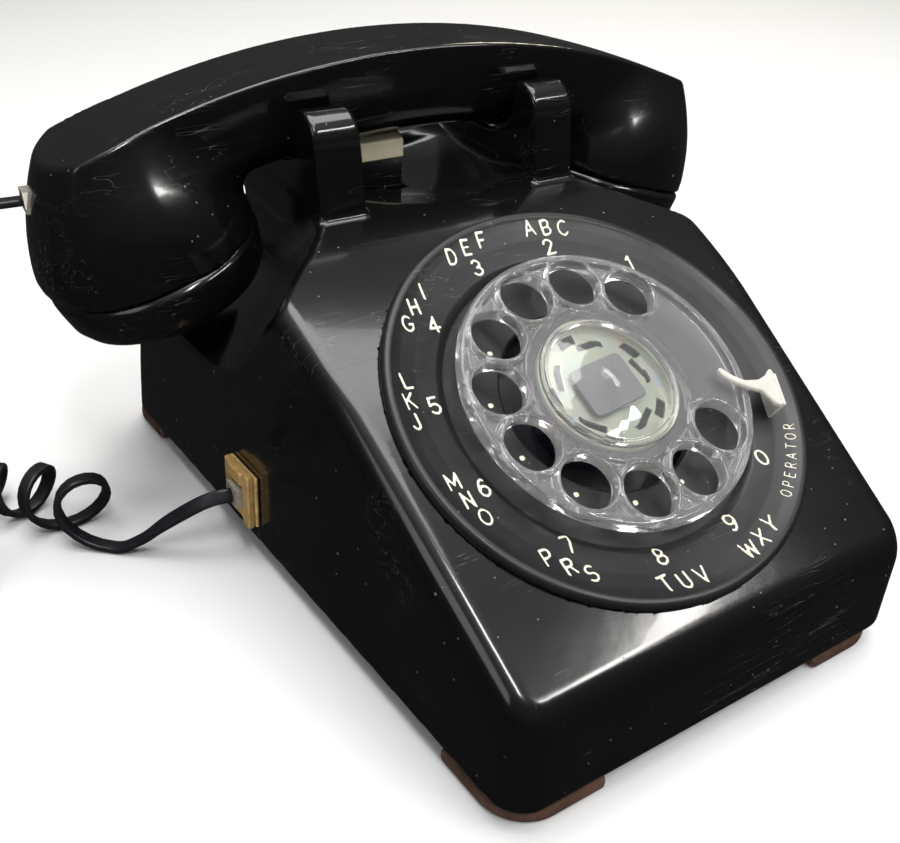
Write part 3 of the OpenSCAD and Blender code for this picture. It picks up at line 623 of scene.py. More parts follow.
def plate_black():
    """Satin number plate, faintly worn where fingers pass."""
    m = Nodes("plate_black")
    film = m.noise(60, 5, 0.65)
    grain = m.noise(2600, 3, 0.6)
    dots = m.specks(430, 0.15, 0.05)
    lines = m.scratches(300, (0.2, 0.5, 0.3), 0.006, 0.54)
    pale = m.math("MAXIMUM", dots, m.math("MULTIPLY", lines, 0.5))
    base = m.mix(film, rgb(0.0075, 0.008, 0.009), rgb(0.019, 0.0195, 0.021))
    m.set(Base_Color=m.mix(m.math("MULTIPLY", pale, 0.4), base, rgb(0.4, 0.39, 0.37)))
    m.set(Roughness=m.band(film, 0.3, 0.7, 0.3, 0.46), IOR=1.5)
    m.set(Normal=m.bump(grain, 0.08, 0.00006, m.bump(lines, -0.2, 0.00005)))
    return m.material


def clear_plastic(name, tint, haze, roughness, dirt=0.15):
    """Clear acrylic: a thin film, hairline scratches and dust."""
    m = Nodes(name)
    film = m.noise(45, 4, 0.55, None, 0.3)
    lines = m.math("MAXIMUM", m.scratches(500, (0.3, 0.2, 0.4), 0.005, 0.55),
                   m.scratches(620, (0.1, 0.4, 2.0), 0.004, 0.56))
    dots = m.specks(600, 0.14, 0.05)
    marks = m.math("MAXIMUM", lines, dots)
    m.set(Base_Color=m.mix(m.math("MULTIPLY", film, dirt), rgb(*tint), rgb(0.80, 0.74, 0.68)))
    clear = m.math("SUBTRACT", 1.0 - haze, m.math("MULTIPLY", marks, 0.16))
    m.set(Transmission_Weight=m.math("SUBTRACT", clear, m.math("MULTIPLY", film, 0.05), clamp=True))
    m.set(Roughness=m.band(film, 0.25, 0.75, roughness, roughness + 0.03), IOR=1.46)
    m.set(Normal=m.bump(lines, 0.06, 0.00004))
    return m.material


def metal(name, colour, roughness, brushed=0.0, stain=0.3, grain=900, dark=(0.16, 0.13, 0.1)):
    """Metal with a brushed or cast grain, dull patches and small stains."""
    m = Nodes(name)
    way = m.stretch((grain * 0.04, grain, grain)) if brushed else m.stretch((grain, grain, grain))
    fibre = m.noise(1.0, 4, 0.6, way)
    patch = m.noise(55, 5, 0.65)
    spots = m.specks(700, 0.2, 0.06)
    dull = m.math("MULTIPLY", m.band(patch, 0.45, 0.8), stain)
    base = m.mix(dull, rgb(*colour), rgb(*dark))
    m.set(Base_Color=m.mix(m.math("MULTIPLY", spots, 0.5), base, rgb(*dark)), Metallic=1.0)
    gloss = m.band(fibre, 0.3, 0.7, roughness * 0.8, roughness * 1.25)
    m.set(Roughness=m.math("ADD", gloss, m.math("MULTIPLY", dull, 0.3)))
    m.set(Normal=m.bump(fibre, 0.12 + brushed * 0.2, 0.00004))
    return m.material


def solid(name, colour, second, roughness, grain=500, mottled=50, depth=0.00006, bump=0.3, edge=None):
    """Opaque moulded or pressed stuff in two tones with a surface grain."""
    m = Nodes(name)
    patch = m.noise(mottled, 5, 0.62)
    fine = m.noise(grain, 4, 0.6)
    dots = m.specks(480, 0.17, 0.06)
    base = m.mix(m.band(patch, 0.35, 0.68), rgb(*colour), rgb(*second))
    base = m.mix(m.math("MULTIPLY", m.band(fine, 0.5, 0.75), 0.18), base, rgb(*[c * 0.5 for c in colour]))
    if edge:
        base = m.mix(m.worn_edges(0.53, 0.60), base, rgb(*edge))
    m.set(Base_Color=m.mix(m.math("MULTIPLY", dots, 0.35), base, rgb(0.5, 0.47, 0.42)))
    m.set(Roughness=m.band(fine, 0.3, 0.7, roughness * 0.85, min(1.0, roughness * 1.2)))
    m.set(Normal=m.bump(fine, bump, depth))
    return m.material


def hub_metal():
    """Dull zinc with a cream and faintly iridescent passivation."""
    m = Nodes("hub_metal")
    patch = m.noise(75, 3, 0.5, None, 0.6)
    stops = [(0.0, (0.56, 0.64, 0.70)), (0.3, (0.72, 0.72, 0.58)), (0.52, (0.60, 0.72, 0.60)),
             (0.75, (0.76, 0.72, 0.60)), (1.0, (0.78, 0.60, 0.55))]
    colour = m.ramp(m.band(patch, 0.34, 0.66), stops)
    fibre = m.noise(1.0, 4, 0.6, m.stretch((60, 900, 900)))
    m.set(Base_Color=colour, Metallic=0.75, Roughness=m.band(fibre, 0.3, 0.7, 0.28, 0.45))
    m.set(Normal=m.bump(fibre, 0.2, 0.00003))
    return m.material


def amber_plastic():
    """Translucent amber moulding, grimy in patches and paler on its edges."""
    m = Nodes("amber_plastic")
    patch = m.noise(120, 5, 0.65)
    grime = m.band(m.noise(420, 4, 0.7), 0.48, 0.72)
    pale = m.worn_edges(0.52, 0.58)
    base = m.mix(patch, rgb(0.36, 0.21, 0.065), rgb(0.52, 0.34, 0.13))
    base = m.mix(m.math("MULTIPLY", grime, 0.5), base, rgb(0.13, 0.07, 0.025))
    m.set(Base_Color=m.mix(m.math("MULTIPLY", pale, 0.75), base, rgb(0.80, 0.64, 0.36)))
    m.set(Roughness=m.band(patch, 0.3, 0.7, 0.26, 0.42), Subsurface_Weight=0.12, Subsurface_Scale=0.002)
    m.shader.inputs["Subsurface Radius"].default_value = (1.0, 0.5, 0.15)
    m.set(Normal=m.bump(m.math("ADD", patch, grime), 0.2, 0.00008))
    return m.material


def cord_vinyl():
    """Black vinyl jacket: satin, mottled, with faint dust and a fine bumped grain."""
    m = Nodes("cord_vinyl")
    patch = m.noise(110, 4, 0.6)
    fine = m.noise(1800, 3, 0.6)
    dots = m.specks(900, 0.2, 0.08)
    base = m.mix(patch, rgb(0.006, 0.0065, 0.008), rgb(0.018, 0.019, 0.023))
    m.set(Base_Color=m.mix(m.math("MULTIPLY", dots, 0.4), base, rgb(0.3, 0.28, 0.25)))
    m.set(Roughness=m.band(patch, 0.3, 0.7, 0.27, 0.42), Normal=m.bump(fine, 0.12, 0.00005))
    return m.material


def print_ivory():
    """Ivory print, thinned a little by wear."""
    m = Nodes("print_ivory")
    wear = m.noise(900, 4, 0.65)
    m.set(Base_Color=m.mix(m.band(wear, 0.5, 0.85), rgb(0.88, 0.84, 0.68), rgb(0.66, 0.62, 0.50)))
    m.set(Roughness=m.band(wear, 0.3, 0.7, 0.42, 0.6), Normal=m.bump(wear, 0.15, 0.00003))
    return m.material


# Colour, roughness, how brushed, how stained, then the grain and the colour of the stains.
METALS = {
    "steel": ((0.56, 0.55, 0.52), 0.34, 0.6, 0.35),
    "screw_steel": ((0.68, 0.66, 0.6), 0.26, 0.2, 0.3),
    "spring_steel": ((0.22, 0.25, 0.33), 0.3, 0.5, 0.2),
    "nickel_silver": ((0.74, 0.7, 0.6), 0.24, 0.5, 0.2),
    "gear_brass": ((0.80, 0.58, 0.26), 0.28, 0.4, 0.35),
    "gong_brass": ((0.72, 0.62, 0.42), 0.2, 0.3, 0.25),
    "cast_frame": ((0.52, 0.52, 0.51), 0.46, 0.0, 0.4, 600),
    # Near-black painted shade for the dial frame: it stands for the shadowed gap under the number plate.
    "shade_painted_frame": ((0.045, 0.045, 0.05), 0.4, 0.0, 0.3, 600, (0.02, 0.018, 0.016)),
    "unit_metal": ((0.64, 0.64, 0.62), 0.32, 0.4, 0.25),
}
# Two colours, roughness, scales of the grain and the mottling, depth and strength of the grain, worn edges.
SOLIDS = {
    "stop_steel": ((0.74, 0.72, 0.66), (0.66, 0.63, 0.57), 0.34, 800, 60, 0.00003, 0.2, (0.86, 0.84, 0.78)),
    "card_grey": ((0.22, 0.225, 0.25), (0.30, 0.305, 0.33), 0.6, 900, 90, 0.00003, 0.2),
    # card_slot is the pale finish of the bar on the number card: a painted reflection.
    "card_slot": ((0.72, 0.74, 0.78), (0.82, 0.83, 0.86), 0.5, 900, 200, 0.00003, 0.2),
    "dark_fibre": ((0.05, 0.038, 0.03), (0.08, 0.06, 0.045), 0.6, 900, 120),
    "block_grey": ((0.10, 0.105, 0.115), (0.15, 0.15, 0.16), 0.5, 500, 60),
    "board_fibre": ((0.33, 0.21, 0.10), (0.42, 0.28, 0.14), 0.6, 900, 90),
    "coil_red": ((0.20, 0.035, 0.02), (0.28, 0.06, 0.03), 0.4, 700, 80),
    "ivory_plastic": ((0.74, 0.66, 0.46), (0.80, 0.74, 0.56), 0.34, 700, 60, 0.00003, 0.2,
                      (0.86, 0.81, 0.66)),
    "foot_brown": ((0.060, 0.026, 0.016), (0.16, 0.075, 0.045), 0.62, 420, 85, 0.00025, 0.6,
                   (0.42, 0.30, 0.22)),
    # Near-black painted shade for the insides of the caps' sound holes.
    "hole_shade_black": ((0.003, 0.003, 0.003), (0.006, 0.006, 0.006), 0.7),
}
MATERIALS = {
    "black_plastic": black_plastic(),
    "handset_black": black_plastic("handset_black", 0.12, 0.55),
    "plate_black": plate_black(),
    "clear_plastic": clear_plastic("clear_wheel", (0.965, 0.955, 0.965), 0.085, 0.01, 0.1),
    "window": clear_plastic("clear_window", (0.97, 0.965, 0.96), 0.035, 0.01, 0.1),
    "plug": clear_plastic("clear_plug", (0.88, 0.84, 0.74), 0.25, 0.12),
    "hub_metal": hub_metal(),
    "amber_plastic": amber_plastic(),
    "cord_vinyl": cord_vinyl(),
    "print_ivory": print_ivory(),
}
MATERIALS.update({name: metal(name, *row) for name, row in METALS.items()})
MATERIALS.update({name: solid(name, *row) for name, row in SOLIDS.items()})


def paint_frame():
    """Gives every CAD piece that stays in view the finish of its slot; the plugs get clear plastic, and the
    dial frame gets a near-black finish that is painted shade.
    """
    slots = {row["node"]: row["material_slot"] for row in frame["record"]["subparts"]}
    for name, node in frame["nodes"].items():
        # The dial frame is painted near-black, as shade for the gap seen through the wheel's holes.
        key = {"base_plug": "plug", "handset_plug": "plug", "dial_frame": "shade_painted_frame"}.get(name, slots[name])
        node.data.materials.clear()
        node.data.materials.append(MATERIALS[key])
        node.data.polygons.foreach_set("use_smooth", [True] * len(node.data.polygons))
        node.data.set_sharp_from_angle(angle=radians(32))


# ---------------------------------------------------------------- cord, in millimetres
STRIP_W, STRIP_T = 4.4, 2.1
COIL_R = 7.35
# The first two loops are stretched: their wider radius, their pitch as it closes up, and how far they lean.
OPEN_R, OPEN_PITCH, OPEN_RUN, OPEN_LAG = 11.05, (22.8, 14.7), 37.5, 48.0
OPEN_TURNS, LAG_TURNS = 2.4, 1.8
WIRE_LENGTH = 1500.0
BASE_ROUTE = [(-81.7, 12, 22.5), (-85.5, 12.6, 22.7), (-90, 14.6, 21), (-95.5, 18, 16.8), (-101, 21.8, 11.8),
              (-106, 25.2, 6.6), (-110.5, 28.2, 3.2)]
CURL_ROUTE = [(-115, 32, 8.7), (-118, 40, 8.7), (-123, 49, 8.7), (-131, 60, 8.7), (-142, 70, 8.7),
              (-156, 77, 8.7), (-171, 78, 8.7), (-185, 72, 8.7), (-193, 60, 8.7), (-193, 46, 8.7),
              (-185, 35, 8.9), (-173, 31, 12), (-162, 34, 20), (-155, 41, 33), (-151, 49, 49), (-149, 55, 65),
              (-148, 58, 80)]
HAND_ROUTE = [(-147.9, 58.4, 84.5), (-147.0, 58.5, 90), (-143.6, 58.5, 96.6), (-138, 58.5, 101.4),
              (-131, 58.5, 103.4), (-123, 58.5, 103.2), (-114.4, 58.5, 103)]
# How many points the cord's parts have: first lead, join, one turn of the coil, join, last lead.
BASE_POINTS, JOIN_POINTS, TURN_POINTS, LIFT_POINTS, HAND_POINTS = 24, 4, 22, 9, 26


def curve_through(points, count):
    """Catmull-Rom curve through the points, resampled to even spacing."""
    p = np.array(points, float)
    p = np.vstack([2 * p[0] - p[1], p, 2 * p[-1] - p[-2]])
    out = []
    for i in range(1, len(p) - 2):
        for t in np.arange(0, 1, 0.05):
            a, b, c, d = p[i - 1:i + 3]
            out.append(0.5 * (2 * b + (c - a) * t + (2 * a - 5 * b + 4 * c - d) * t ** 2
                              + (3 * b - a - 3 * c + d) * t ** 3))
    return evenly(np.array(out + [p[-2]]), count)


def length_along(points):
    """Length from the first point to each point."""
    return np.concatenate([[0], np.cumsum(np.linalg.norm(np.diff(points, axis=0), axis=1))])


def resampled(at, run, values):
    return np.stack([np.interp(at, run, values[:, i]) for i in range(3)], 1)


def evenly(points, count):
    run = length_along(points)
    return resampled(np.linspace(0, run[-1], count), run, points)


def unit_rows(v):
    return v / np.maximum(np.linalg.norm(v, axis=1), 1e-9)[:, None]


def bridge(a, way_a, b, way_b, count):
    """Smooth curve between two points with given directions, without its end points."""
    t = np.linspace(0, 1, count + 2)[1:-1, None]
    reach = np.linalg.norm(b - a)
    return ((2 * t ** 3 - 3 * t ** 2 + 1) * a + (t ** 3 - 2 * t ** 2 + t) * reach * way_a
            + (3 * t ** 2 - 2 * t ** 3) * b + (t ** 3 - t ** 2) * reach * way_b)


def coil_path(pitch_end):
    """Centreline of the curled wire about its route, with the way its flat side is turned."""
    line = curve_through(CURL_ROUTE, 1200)
    axis = unit_rows(np.gradient(line, axis=0))
    side = np.zeros_like(line)
    lead = np.array([0.0, 0.0, 1.0])
    for i in range(len(line)):
        lead = lead - lead.dot(axis[i]) * axis[i]
        lead /= np.linalg.norm(lead)
        side[i] = lead
    run = length_along(line)
    pitch = np.interp(run, [0, OPEN_RUN], OPEN_PITCH)
    pitch = pitch + (pitch_end - pitch) * ease((run - 46) / 26)
    turns = np.concatenate([[0], np.cumsum(np.diff(run) / pitch[:-1])])
    count = int(turns[-1] * TURN_POINTS)
    turn = np.linspace(0, turns[-1], count)
    at = np.interp(turn, turns, run)
    centre, side, axis = [resampled(at, run, v) for v in (line, side, axis)]
    # The first loops lean over and are wider than the rest.
    lag = np.radians(np.clip(OPEN_LAG * (1 - turn / LAG_TURNS), 0, None))
    axis = np.stack([axis[:, 0] * np.cos(lag) + axis[:, 1] * np.sin(lag),
                     axis[:, 1] * np.cos(lag) - axis[:, 0] * np.sin(lag), axis[:, 2]], 1)
    other = unit_rows(np.cross(axis, side))
    radius = COIL_R + (OPEN_R - COIL_R) * np.clip(1 - turn / OPEN_TURNS, 0, 1)
    centre[:, 2] += radius - COIL_R
    uneven = 1 + 0.045 * np.sin(2.3 * turn) * ease((at - 40) / 30)
    radius = radius * uneven * (0.45 + 0.55 * ease((run[-1] - at) / 12))
    angle = pi + 2 * pi * turn
    path = centre + radius[:, None] * (np.cos(angle)[:, None] * side + np.sin(angle)[:, None] * other)
    path[:, 2] = np.maximum(path[:, 2], STRIP_T / 2 + 0.15)
    return path, unit_rows(axis)


def cord_path():
    """The whole wire from the base plug to the handset, and the way its flat side is turned."""
    first = curve_through(BASE_ROUTE, BASE_POINTS)
    last = curve_through(HAND_ROUTE, HAND_POINTS)
    first_way, last_way = unit_rows(np.gradient(first, axis=0)), unit_rows(np.gradient(last, axis=0))
    # Closes in on the coil's pitch that gives the wire its length.
    low, high = 3.0, 14.0
    for _ in range(18):
        middle = (low + high) / 2
        coil, axis = coil_path(middle)
        way = unit_rows(np.gradient(coil, axis=0))
        into = bridge(first[-1], first_way[-1], coil[0], way[0], JOIN_POINTS)
        out = bridge(coil[-1], way[-1], last[0], last_way[0], LIFT_POINTS)
        path = np.vstack([first, into, coil, out, last])
        low, high = (middle, high) if length_along(path)[-1] > WIRE_LENGTH else (low, middle)
    turn = ease(np.linspace(0, 1.1, BASE_POINTS + JOIN_POINTS))[:, None]
    facing = np.array([-0.35, -0.75, 0.55]) * (1 - turn) + np.array([0, 0, 1.0]) * turn
    led = np.vstack([first_way, np.repeat(first_way[-1:], JOIN_POINTS, 0)])
    flat_first = unit_rows(np.cross(led, facing))
    share = ease(np.linspace(0, 1, LIFT_POINTS))[:, None]
    flat_out = axis[-1] * (1 - share) - way[-1] * share
    share = ease(np.linspace(0, 1.6, HAND_POINTS))[:, None]
    level = np.array([0.0, -1.0 if way[-1][1] > 0 else 1.0, 0.0])
    return path, np.vstack([flat_first, axis, flat_out, -way[-1] * (1 - share) + level * share])


def make_cord():
    """The flat wire with its thick edges, swept along its path."""
    path, flat = cord_path()
    way = unit_rows(np.gradient(path, axis=0))
    wide = unit_rows(flat - (flat * way).sum(1)[:, None] * way)
    thick = np.cross(way, wide)
    outline = rounded([(-STRIP_W / 2, -STRIP_T / 2), (STRIP_W / 2, -STRIP_T / 2), (STRIP_W / 2, STRIP_T / 2),
                       (-STRIP_W / 2, STRIP_T / 2)], 0.85, 3)
    n, points, faces = len(outline), [], []
    for p, w, t in zip(path, wide, thick):
        points += [p + a * w + b * (1 - 0.12 * (1 - (2 * a / STRIP_W) ** 2)) * t for a, b in outline]
    for i in range(len(path) - 1):
        for j in range(n):
            k = (j + 1) % n
            faces.append((i * n + j, i * n + k, i * n + n + k, i * n + n + j))
    faces += [tuple(reversed(range(n))), tuple(range(len(points) - n, len(points)))]
    piece = add_mesh("handset_cord", points, faces, "cord_vinyl", None)
    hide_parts("cord_base_lead", "cord_curl", "cord_hand_lead")
    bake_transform(piece)


# ---------------------------------------------------------------- dial
WHEEL_R = 40.4
WEB_LOW, WEB_TOP = 1.9, 4.3
HOLE_R, HOLE_RING = 7.0, 31.0
HOLE_ANGLES = [47.3 + 30 * k for k in range(10)]
PLATE_TOP = [(26.6, -5.2), (27.0, -3.3), (27.5, -2.9), (42.2, -2.8), (43.4, -1.6), (44.4, -0.85), (50, 0.1),
             (54.0, 1.2), (55.8, 2.0), (56.6, 2.5), (57.7, 2.5), (58.4, 2.1), (58.9, 1.3), (59.0, 0.2)]


def make_number_plate():
    under = [(56.9, 0.15), (56.9, -4.2), (52, -3.6), (44, -3.9), (29, -4.2), (28.4, -5.2)]
    points, faces = lathe(rounded(PLATE_TOP + under, 0.3, 2), 192)
    piece = add_mesh("number_plate_print_side", moved(points, dial_frame()), faces, "plate_black", "base")
    weld_and_shade(piece, 30)
    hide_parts("number_plate")


# Stick letters as pen strokes, each in a box one unit high and centred across.
STROKES = {
    "1": [[(-0.14, 0.8), (0.06, 1), (0.06, 0)]],
    "2": [bow(0, 0.72, 0.28, 0.28, 170, -30) + [(-0.29, 0), (0.30, 0)]],
    "3": [bow(-0.01, 0.75, 0.25, 0.25, 155, -90) + bow(-0.01, 0.26, 0.29, 0.26, 85, -155)],
    "4": [[(0.13, 0), (0.13, 1), (-0.31, 0.27), (0.33, 0.27)]],
    "5": [[(0.25, 1), (-0.20, 1), (-0.25, 0.52)] + bow(-0.01, 0.31, 0.29, 0.31, 118, -150)],
    "6": [bow(0, 0.3, 0.28, 0.3, 0, 360), bow(0.05, 0.34, 0.33, 0.66, 180, 72)],
    "7": [[(-0.28, 1), (0.30, 1), (-0.05, 0)]],
    "8": [bow(0, 0.75, 0.23, 0.25, 0, 360), bow(0, 0.26, 0.29, 0.26, 0, 360)],
    "9": [bow(0, 0.7, 0.28, 0.3, 0, 360), bow(-0.05, 0.66, 0.33, 0.66, 0, -108)],
    "0": [bow(0, 0.5, 0.29, 0.5, 0, 360, 24)],
    "A": [[(-0.37, 0), (0, 1), (0.37, 0)], [(-0.24, 0.33), (0.24, 0.33)]],
    "B": [[(-0.3, 0), (-0.3, 1), (0.02, 1)] + bow(0.02, 0.76, 0.24, 0.24, 90, -90) + [(-0.3, 0.52)],
          [(-0.3, 0), (0.02, 0)] + bow(0.02, 0.26, 0.28, 0.26, -90, 90)],
    "C": [bow(0.02, 0.5, 0.36, 0.5, 48, 312, 20)],
    "D": [[(-0.3, 0), (-0.3, 1), (-0.05, 1)] + bow(-0.05, 0.5, 0.37, 0.5, 90, -90, 18) + [(-0.3, 0)]],
    "E": [[(0.27, 1), (-0.27, 1), (-0.27, 0), (0.28, 0)], [(-0.27, 0.52), (0.2, 0.52)]],
    "F": [[(0.27, 1), (-0.26, 1), (-0.26, 0)], [(-0.26, 0.5), (0.18, 0.5)]],
    "G": [bow(0, 0.5, 0.36, 0.5, 50, 330, 20) + [(0.34, 0.45), (0.08, 0.45)]],
    "H": [[(-0.31, 0), (-0.31, 1)], [(0.31, 0), (0.31, 1)], [(-0.31, 0.5), (0.31, 0.5)]],
    "I": [[(0, 0), (0, 1)]],
    "J": [[(0.2, 1), (0.2, 0.26)] + bow(-0.03, 0.26, 0.23, 0.26, 0, -170)],
    "K": [[(-0.28, 0), (-0.28, 1)], [(0.3, 1), (-0.28, 0.4)], [(-0.08, 0.6), (0.32, 0)]],
    "L": [[(-0.24, 1), (-0.24, 0), (0.28, 0)]],
    "M": [[(-0.38, 0), (-0.38, 1), (0, 0.25), (0.38, 1), (0.38, 0)]],
    "N": [[(-0.31, 0), (-0.31, 1), (0.31, 0), (0.31, 1)]],
    "O": [bow(0, 0.5, 0.38, 0.5, 0, 360, 24)],
    "P": [[(-0.28, 0), (-0.28, 1), (0.04, 1)] + bow(0.04, 0.73, 0.27, 0.27, 90, -90) + [(-0.28, 0.46)]],
    "R": [[(-0.29, 0), (-0.29, 1), (0.04, 1)] + bow(0.04, 0.74, 0.26, 0.26, 90, -90) + [(-0.29, 0.48)],
          [(0.02, 0.48), (0.33, 0)]],
    "S": [bow(0, 0.76, 0.27, 0.24, 35, 270) + bow(0, 0.26, 0.3, 0.26, 90, -145)],
    "T": [[(-0.34, 1), (0.34, 1)], [(0, 1), (0, 0)]],
    "U": [[(-0.31, 1), (-0.31, 0.31)] + bow(0, 0.31, 0.31, 0.31, 180, 360) + [(0.31, 1)]],
    "V": [[(-0.35, 1), (0, 0), (0.35, 1)]],
    "W": [[(-0.48, 1), (-0.25, 0), (0, 0.86), (0.25, 0), (0.48, 1)]],
    "X": [[(-0.33, 1), (0.33, 0)], [(-0.33, 0), (0.33, 1)]],
    "Y": [[(-0.34, 1), (0, 0.45), (0.34, 1)], [(0, 0.45), (0, 0)]],
}
PRINT_STEP = 0.2
# Heights of the print, then half the width of its strokes.
DIGIT_H, LETTER_H, WORD_H = 4.3, 4.0, 2.5
DIGIT_PEN, LETTER_PEN, WORD_PEN = 0.55, 0.52, 0.36
WORD_R = 54.0
DOT_R, DOT_RING = 0.95, 30.5


def stroke_distance(lines, u, v):
    """Distance from (u, v) to the nearest pen stroke."""
    near = np.inf
    for line in lines:
        for (ax, ay), (bx, by) in zip(line, line[1:]):
            ex, ey, px, py = bx - ax, by - ay, u - ax, v - ay
            t = np.clip((px * ex + py * ey) / (ex * ex + ey * ey + 1e-12), 0, 1)
            near = np.minimum(near, (px - ex * t) ** 2 + (py - ey * t) ** 2)
    return np.sqrt(near)


def add_mark(store, lines, half, reach, place, turn=0.0):
    """Lays one printed mark on the plate as a thin raised skin; strokes are half wide to each side."""
    def shape(u, v, w):
        return both(0.05, stroke_distance(lines, u, v) - half, abs(w) - 0.1)
    low, high = [-reach[0], -reach[1], -0.3], [reach[0], reach[1], 0.3]
    p, quads, normals = skin(shape, low, high, PRINT_STEP)
    c, s = cos(radians(turn)), sin(radians(turn))
    x, y = place[0] + p[:, 0] * c - p[:, 1] * s, place[1] + p[:, 0] * s + p[:, 1] * c
    level = np.interp(np.hypot(x, y), *np.transpose(PLATE_TOP))
    start = sum(len(q) for q in store[0])
    store[0].append(np.stack([x, y, level + p[:, 2] + 0.03], 1))
    store[1].append(quads + start)
    n = normals.copy()
    n[:, 0], n[:, 1] = normals[:, 0] * c - normals[:, 1] * s, normals[:, 0] * s + normals[:, 1] * c
    store[2].append(n)


def add_letter(store, letter, height, wide, half, r, angle, turn=0.0):
    lines = [[(a * height * wide, (b - 0.5) * height) for a, b in line] for line in STROKES[letter]]
    place = (r * cos(radians(angle)), r * sin(radians(angle)))
    add_mark(store, lines, half, (height * wide * 0.5 + half + 0.5, height / 2 + half + 0.5), place, turn)


def make_print():
    """Numbers, letters and the aiming dots."""
    store = ([], [], [])
    for k, digit in enumerate("1234567890"):
        r = 46.7 + 1.3 * cos(radians(HOLE_ANGLES[k] - 55))
        add_letter(store, digit, DIGIT_H, 1.05, DIGIT_PEN, r, HOLE_ANGLES[k])
    groups = {"ABC": (77, 53.7), "DEF": (106.3, 53.6), "GHI": (135.4, 53.2), "JKL": (166.2, 52.6),
              "MNO": (197.4, 51.6), "PRS": (228.4, 51.4), "TUV": (260.7, 52.7), "WXY": (289.6, 53.4)}
    for group, (middle, r) in groups.items():
        gap = 6.2 if 100 < middle < 240 else 5.7
        order = 1 if middle > 180 else -1
        for i, letter in enumerate(group):
            angle = middle + order * (i - 1) * gap
            add_letter(store, letter, LETTER_H, 1.0, LETTER_PEN, r, angle)
    for i, letter in enumerate("OPERATOR"):
        angle = 307.3 + i * 3.25
        add_letter(store, letter, WORD_H, 0.9, WORD_PEN, WORD_R, angle, angle + 90)
    for k in [k for k in range(10) if k != 2]:
        a = radians(HOLE_ANGLES[k])
        add_mark(store, [[(0, 0), (0.01, 0)]], DOT_R, (1.5, 1.5), (DOT_RING * cos(a), DOT_RING * sin(a)))
    matrix = dial_frame()
    normals = np.concatenate(store[2]) @ np.array(matrix.to_3x3()).T
    points, faces = moved(np.concatenate(store[0]), matrix), np.concatenate(store[1]).tolist()
    piece = add_mesh("number_plate_print", points, faces, "print_ivory", "base", normals=normals)


def wheel_shape(x, y, z):
    """Moulded clear wheel: thin web, rounded rim, collars round the ten holes, raised middle."""
    r = np.sqrt(x ** 2 + y ** 2)
    web = both(0.7, slab(z, WEB_LOW, WEB_TOP), r - WHEEL_R)
    past, above = np.maximum(np.abs(r - WHEEL_R + 1.5) - 0.45, 0), np.maximum(np.abs(z - WEB_TOP) - 0.7, 0)
    rim = np.sqrt(past ** 2 + above ** 2) - 1.0
    boss = both(0.5, slab(z, WEB_LOW, 5.0), np.abs(r - 20.5) - 2.6)
    body = either(0.5, either(0.8, web, rim), boss)
    spots = [(HOLE_RING * cos(radians(a)), HOLE_RING * sin(radians(a))) for a in HOLE_ANGLES]
    holes = [np.sqrt((x - a) ** 2 + (y - b) ** 2) for a, b in spots]
    for h in holes:
        collar = np.sqrt((h - HOLE_R - 0.75) ** 2 + np.maximum(np.abs(z - 4.0) - 0.9, 0) ** 2) - 0.85
        body = either(0.8, body, collar)
    for h in holes:
        body = without(0.35, body, h - HOLE_R - 0.12 * np.maximum(z - 4.4, 0))
    return without(0.3, body, r - 17.9)


def make_finger_wheel():
    step = 0.6
    piece = skin_piece("finger_wheel_clear", wheel_shape, [-43, -43, 0.6], [43, 43, 7], step,
                       "clear_plastic", "dial", dial_frame())
    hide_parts("finger_wheel")


def make_window():
    """Thin domed window with fine moulded steps at its edge."""
    top = [(0, 8.1), (5, 7.95), (9, 7.6), (12.5, 7.1), (15, 6.6), (16.6, 6.2), (17.2, 6.0), (17.4, 6.2),
           (18.0, 6.15), (18.3, 5.85), (19.2, 5.75), (19.5, 5.3)]
    under = [(18.0, 5.15), (17.0, 5.2), (15, 5.75), (12.5, 6.25), (9, 6.75), (5, 7.1), (0, 7.25)]
    points, faces = lathe(rounded(top + under, 0.14, 2), 144)
    piece = add_mesh("centre_window_dome", moved(points, dial_frame()), faces, "window", "dial")
    weld_and_shade(piece, 25)
    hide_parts("centre_window")


def flat_piece(outline, low, high, bevel):
    """A plate with a given outline, its upper edge slightly broken, as points and faces."""
    if sum(a[0] * b[1] - b[0] * a[1] for a, b in zip(outline, outline[1:] + outline[:1])) < 0:
        outline = outline[::-1]
    n = len(outline)
    inner = []
    for i, (x, y) in enumerate(outline):
        ax, ay = outline[i - 1]
        bx, by = outline[(i + 1) % n]
        dx, dy = bx - ax, by - ay
        size = hypot(dx, dy) or 1
        inner.append((x - bevel * dy / size, y + bevel * dx / size))
    points = [(x, y, low) for x, y in outline] + [(x, y, high - bevel) for x, y in outline]
    points += [(x, y, high) for x, y in inner]
    faces = [tuple(reversed(range(n)))]
    for level in (0, n):
        faces += [(level + i, level + (i + 1) % n, level + n + (i + 1) % n, level + n + i) for i in range(n)]
    faces.append(tuple(range(2 * n, 3 * n)))
    return points, faces


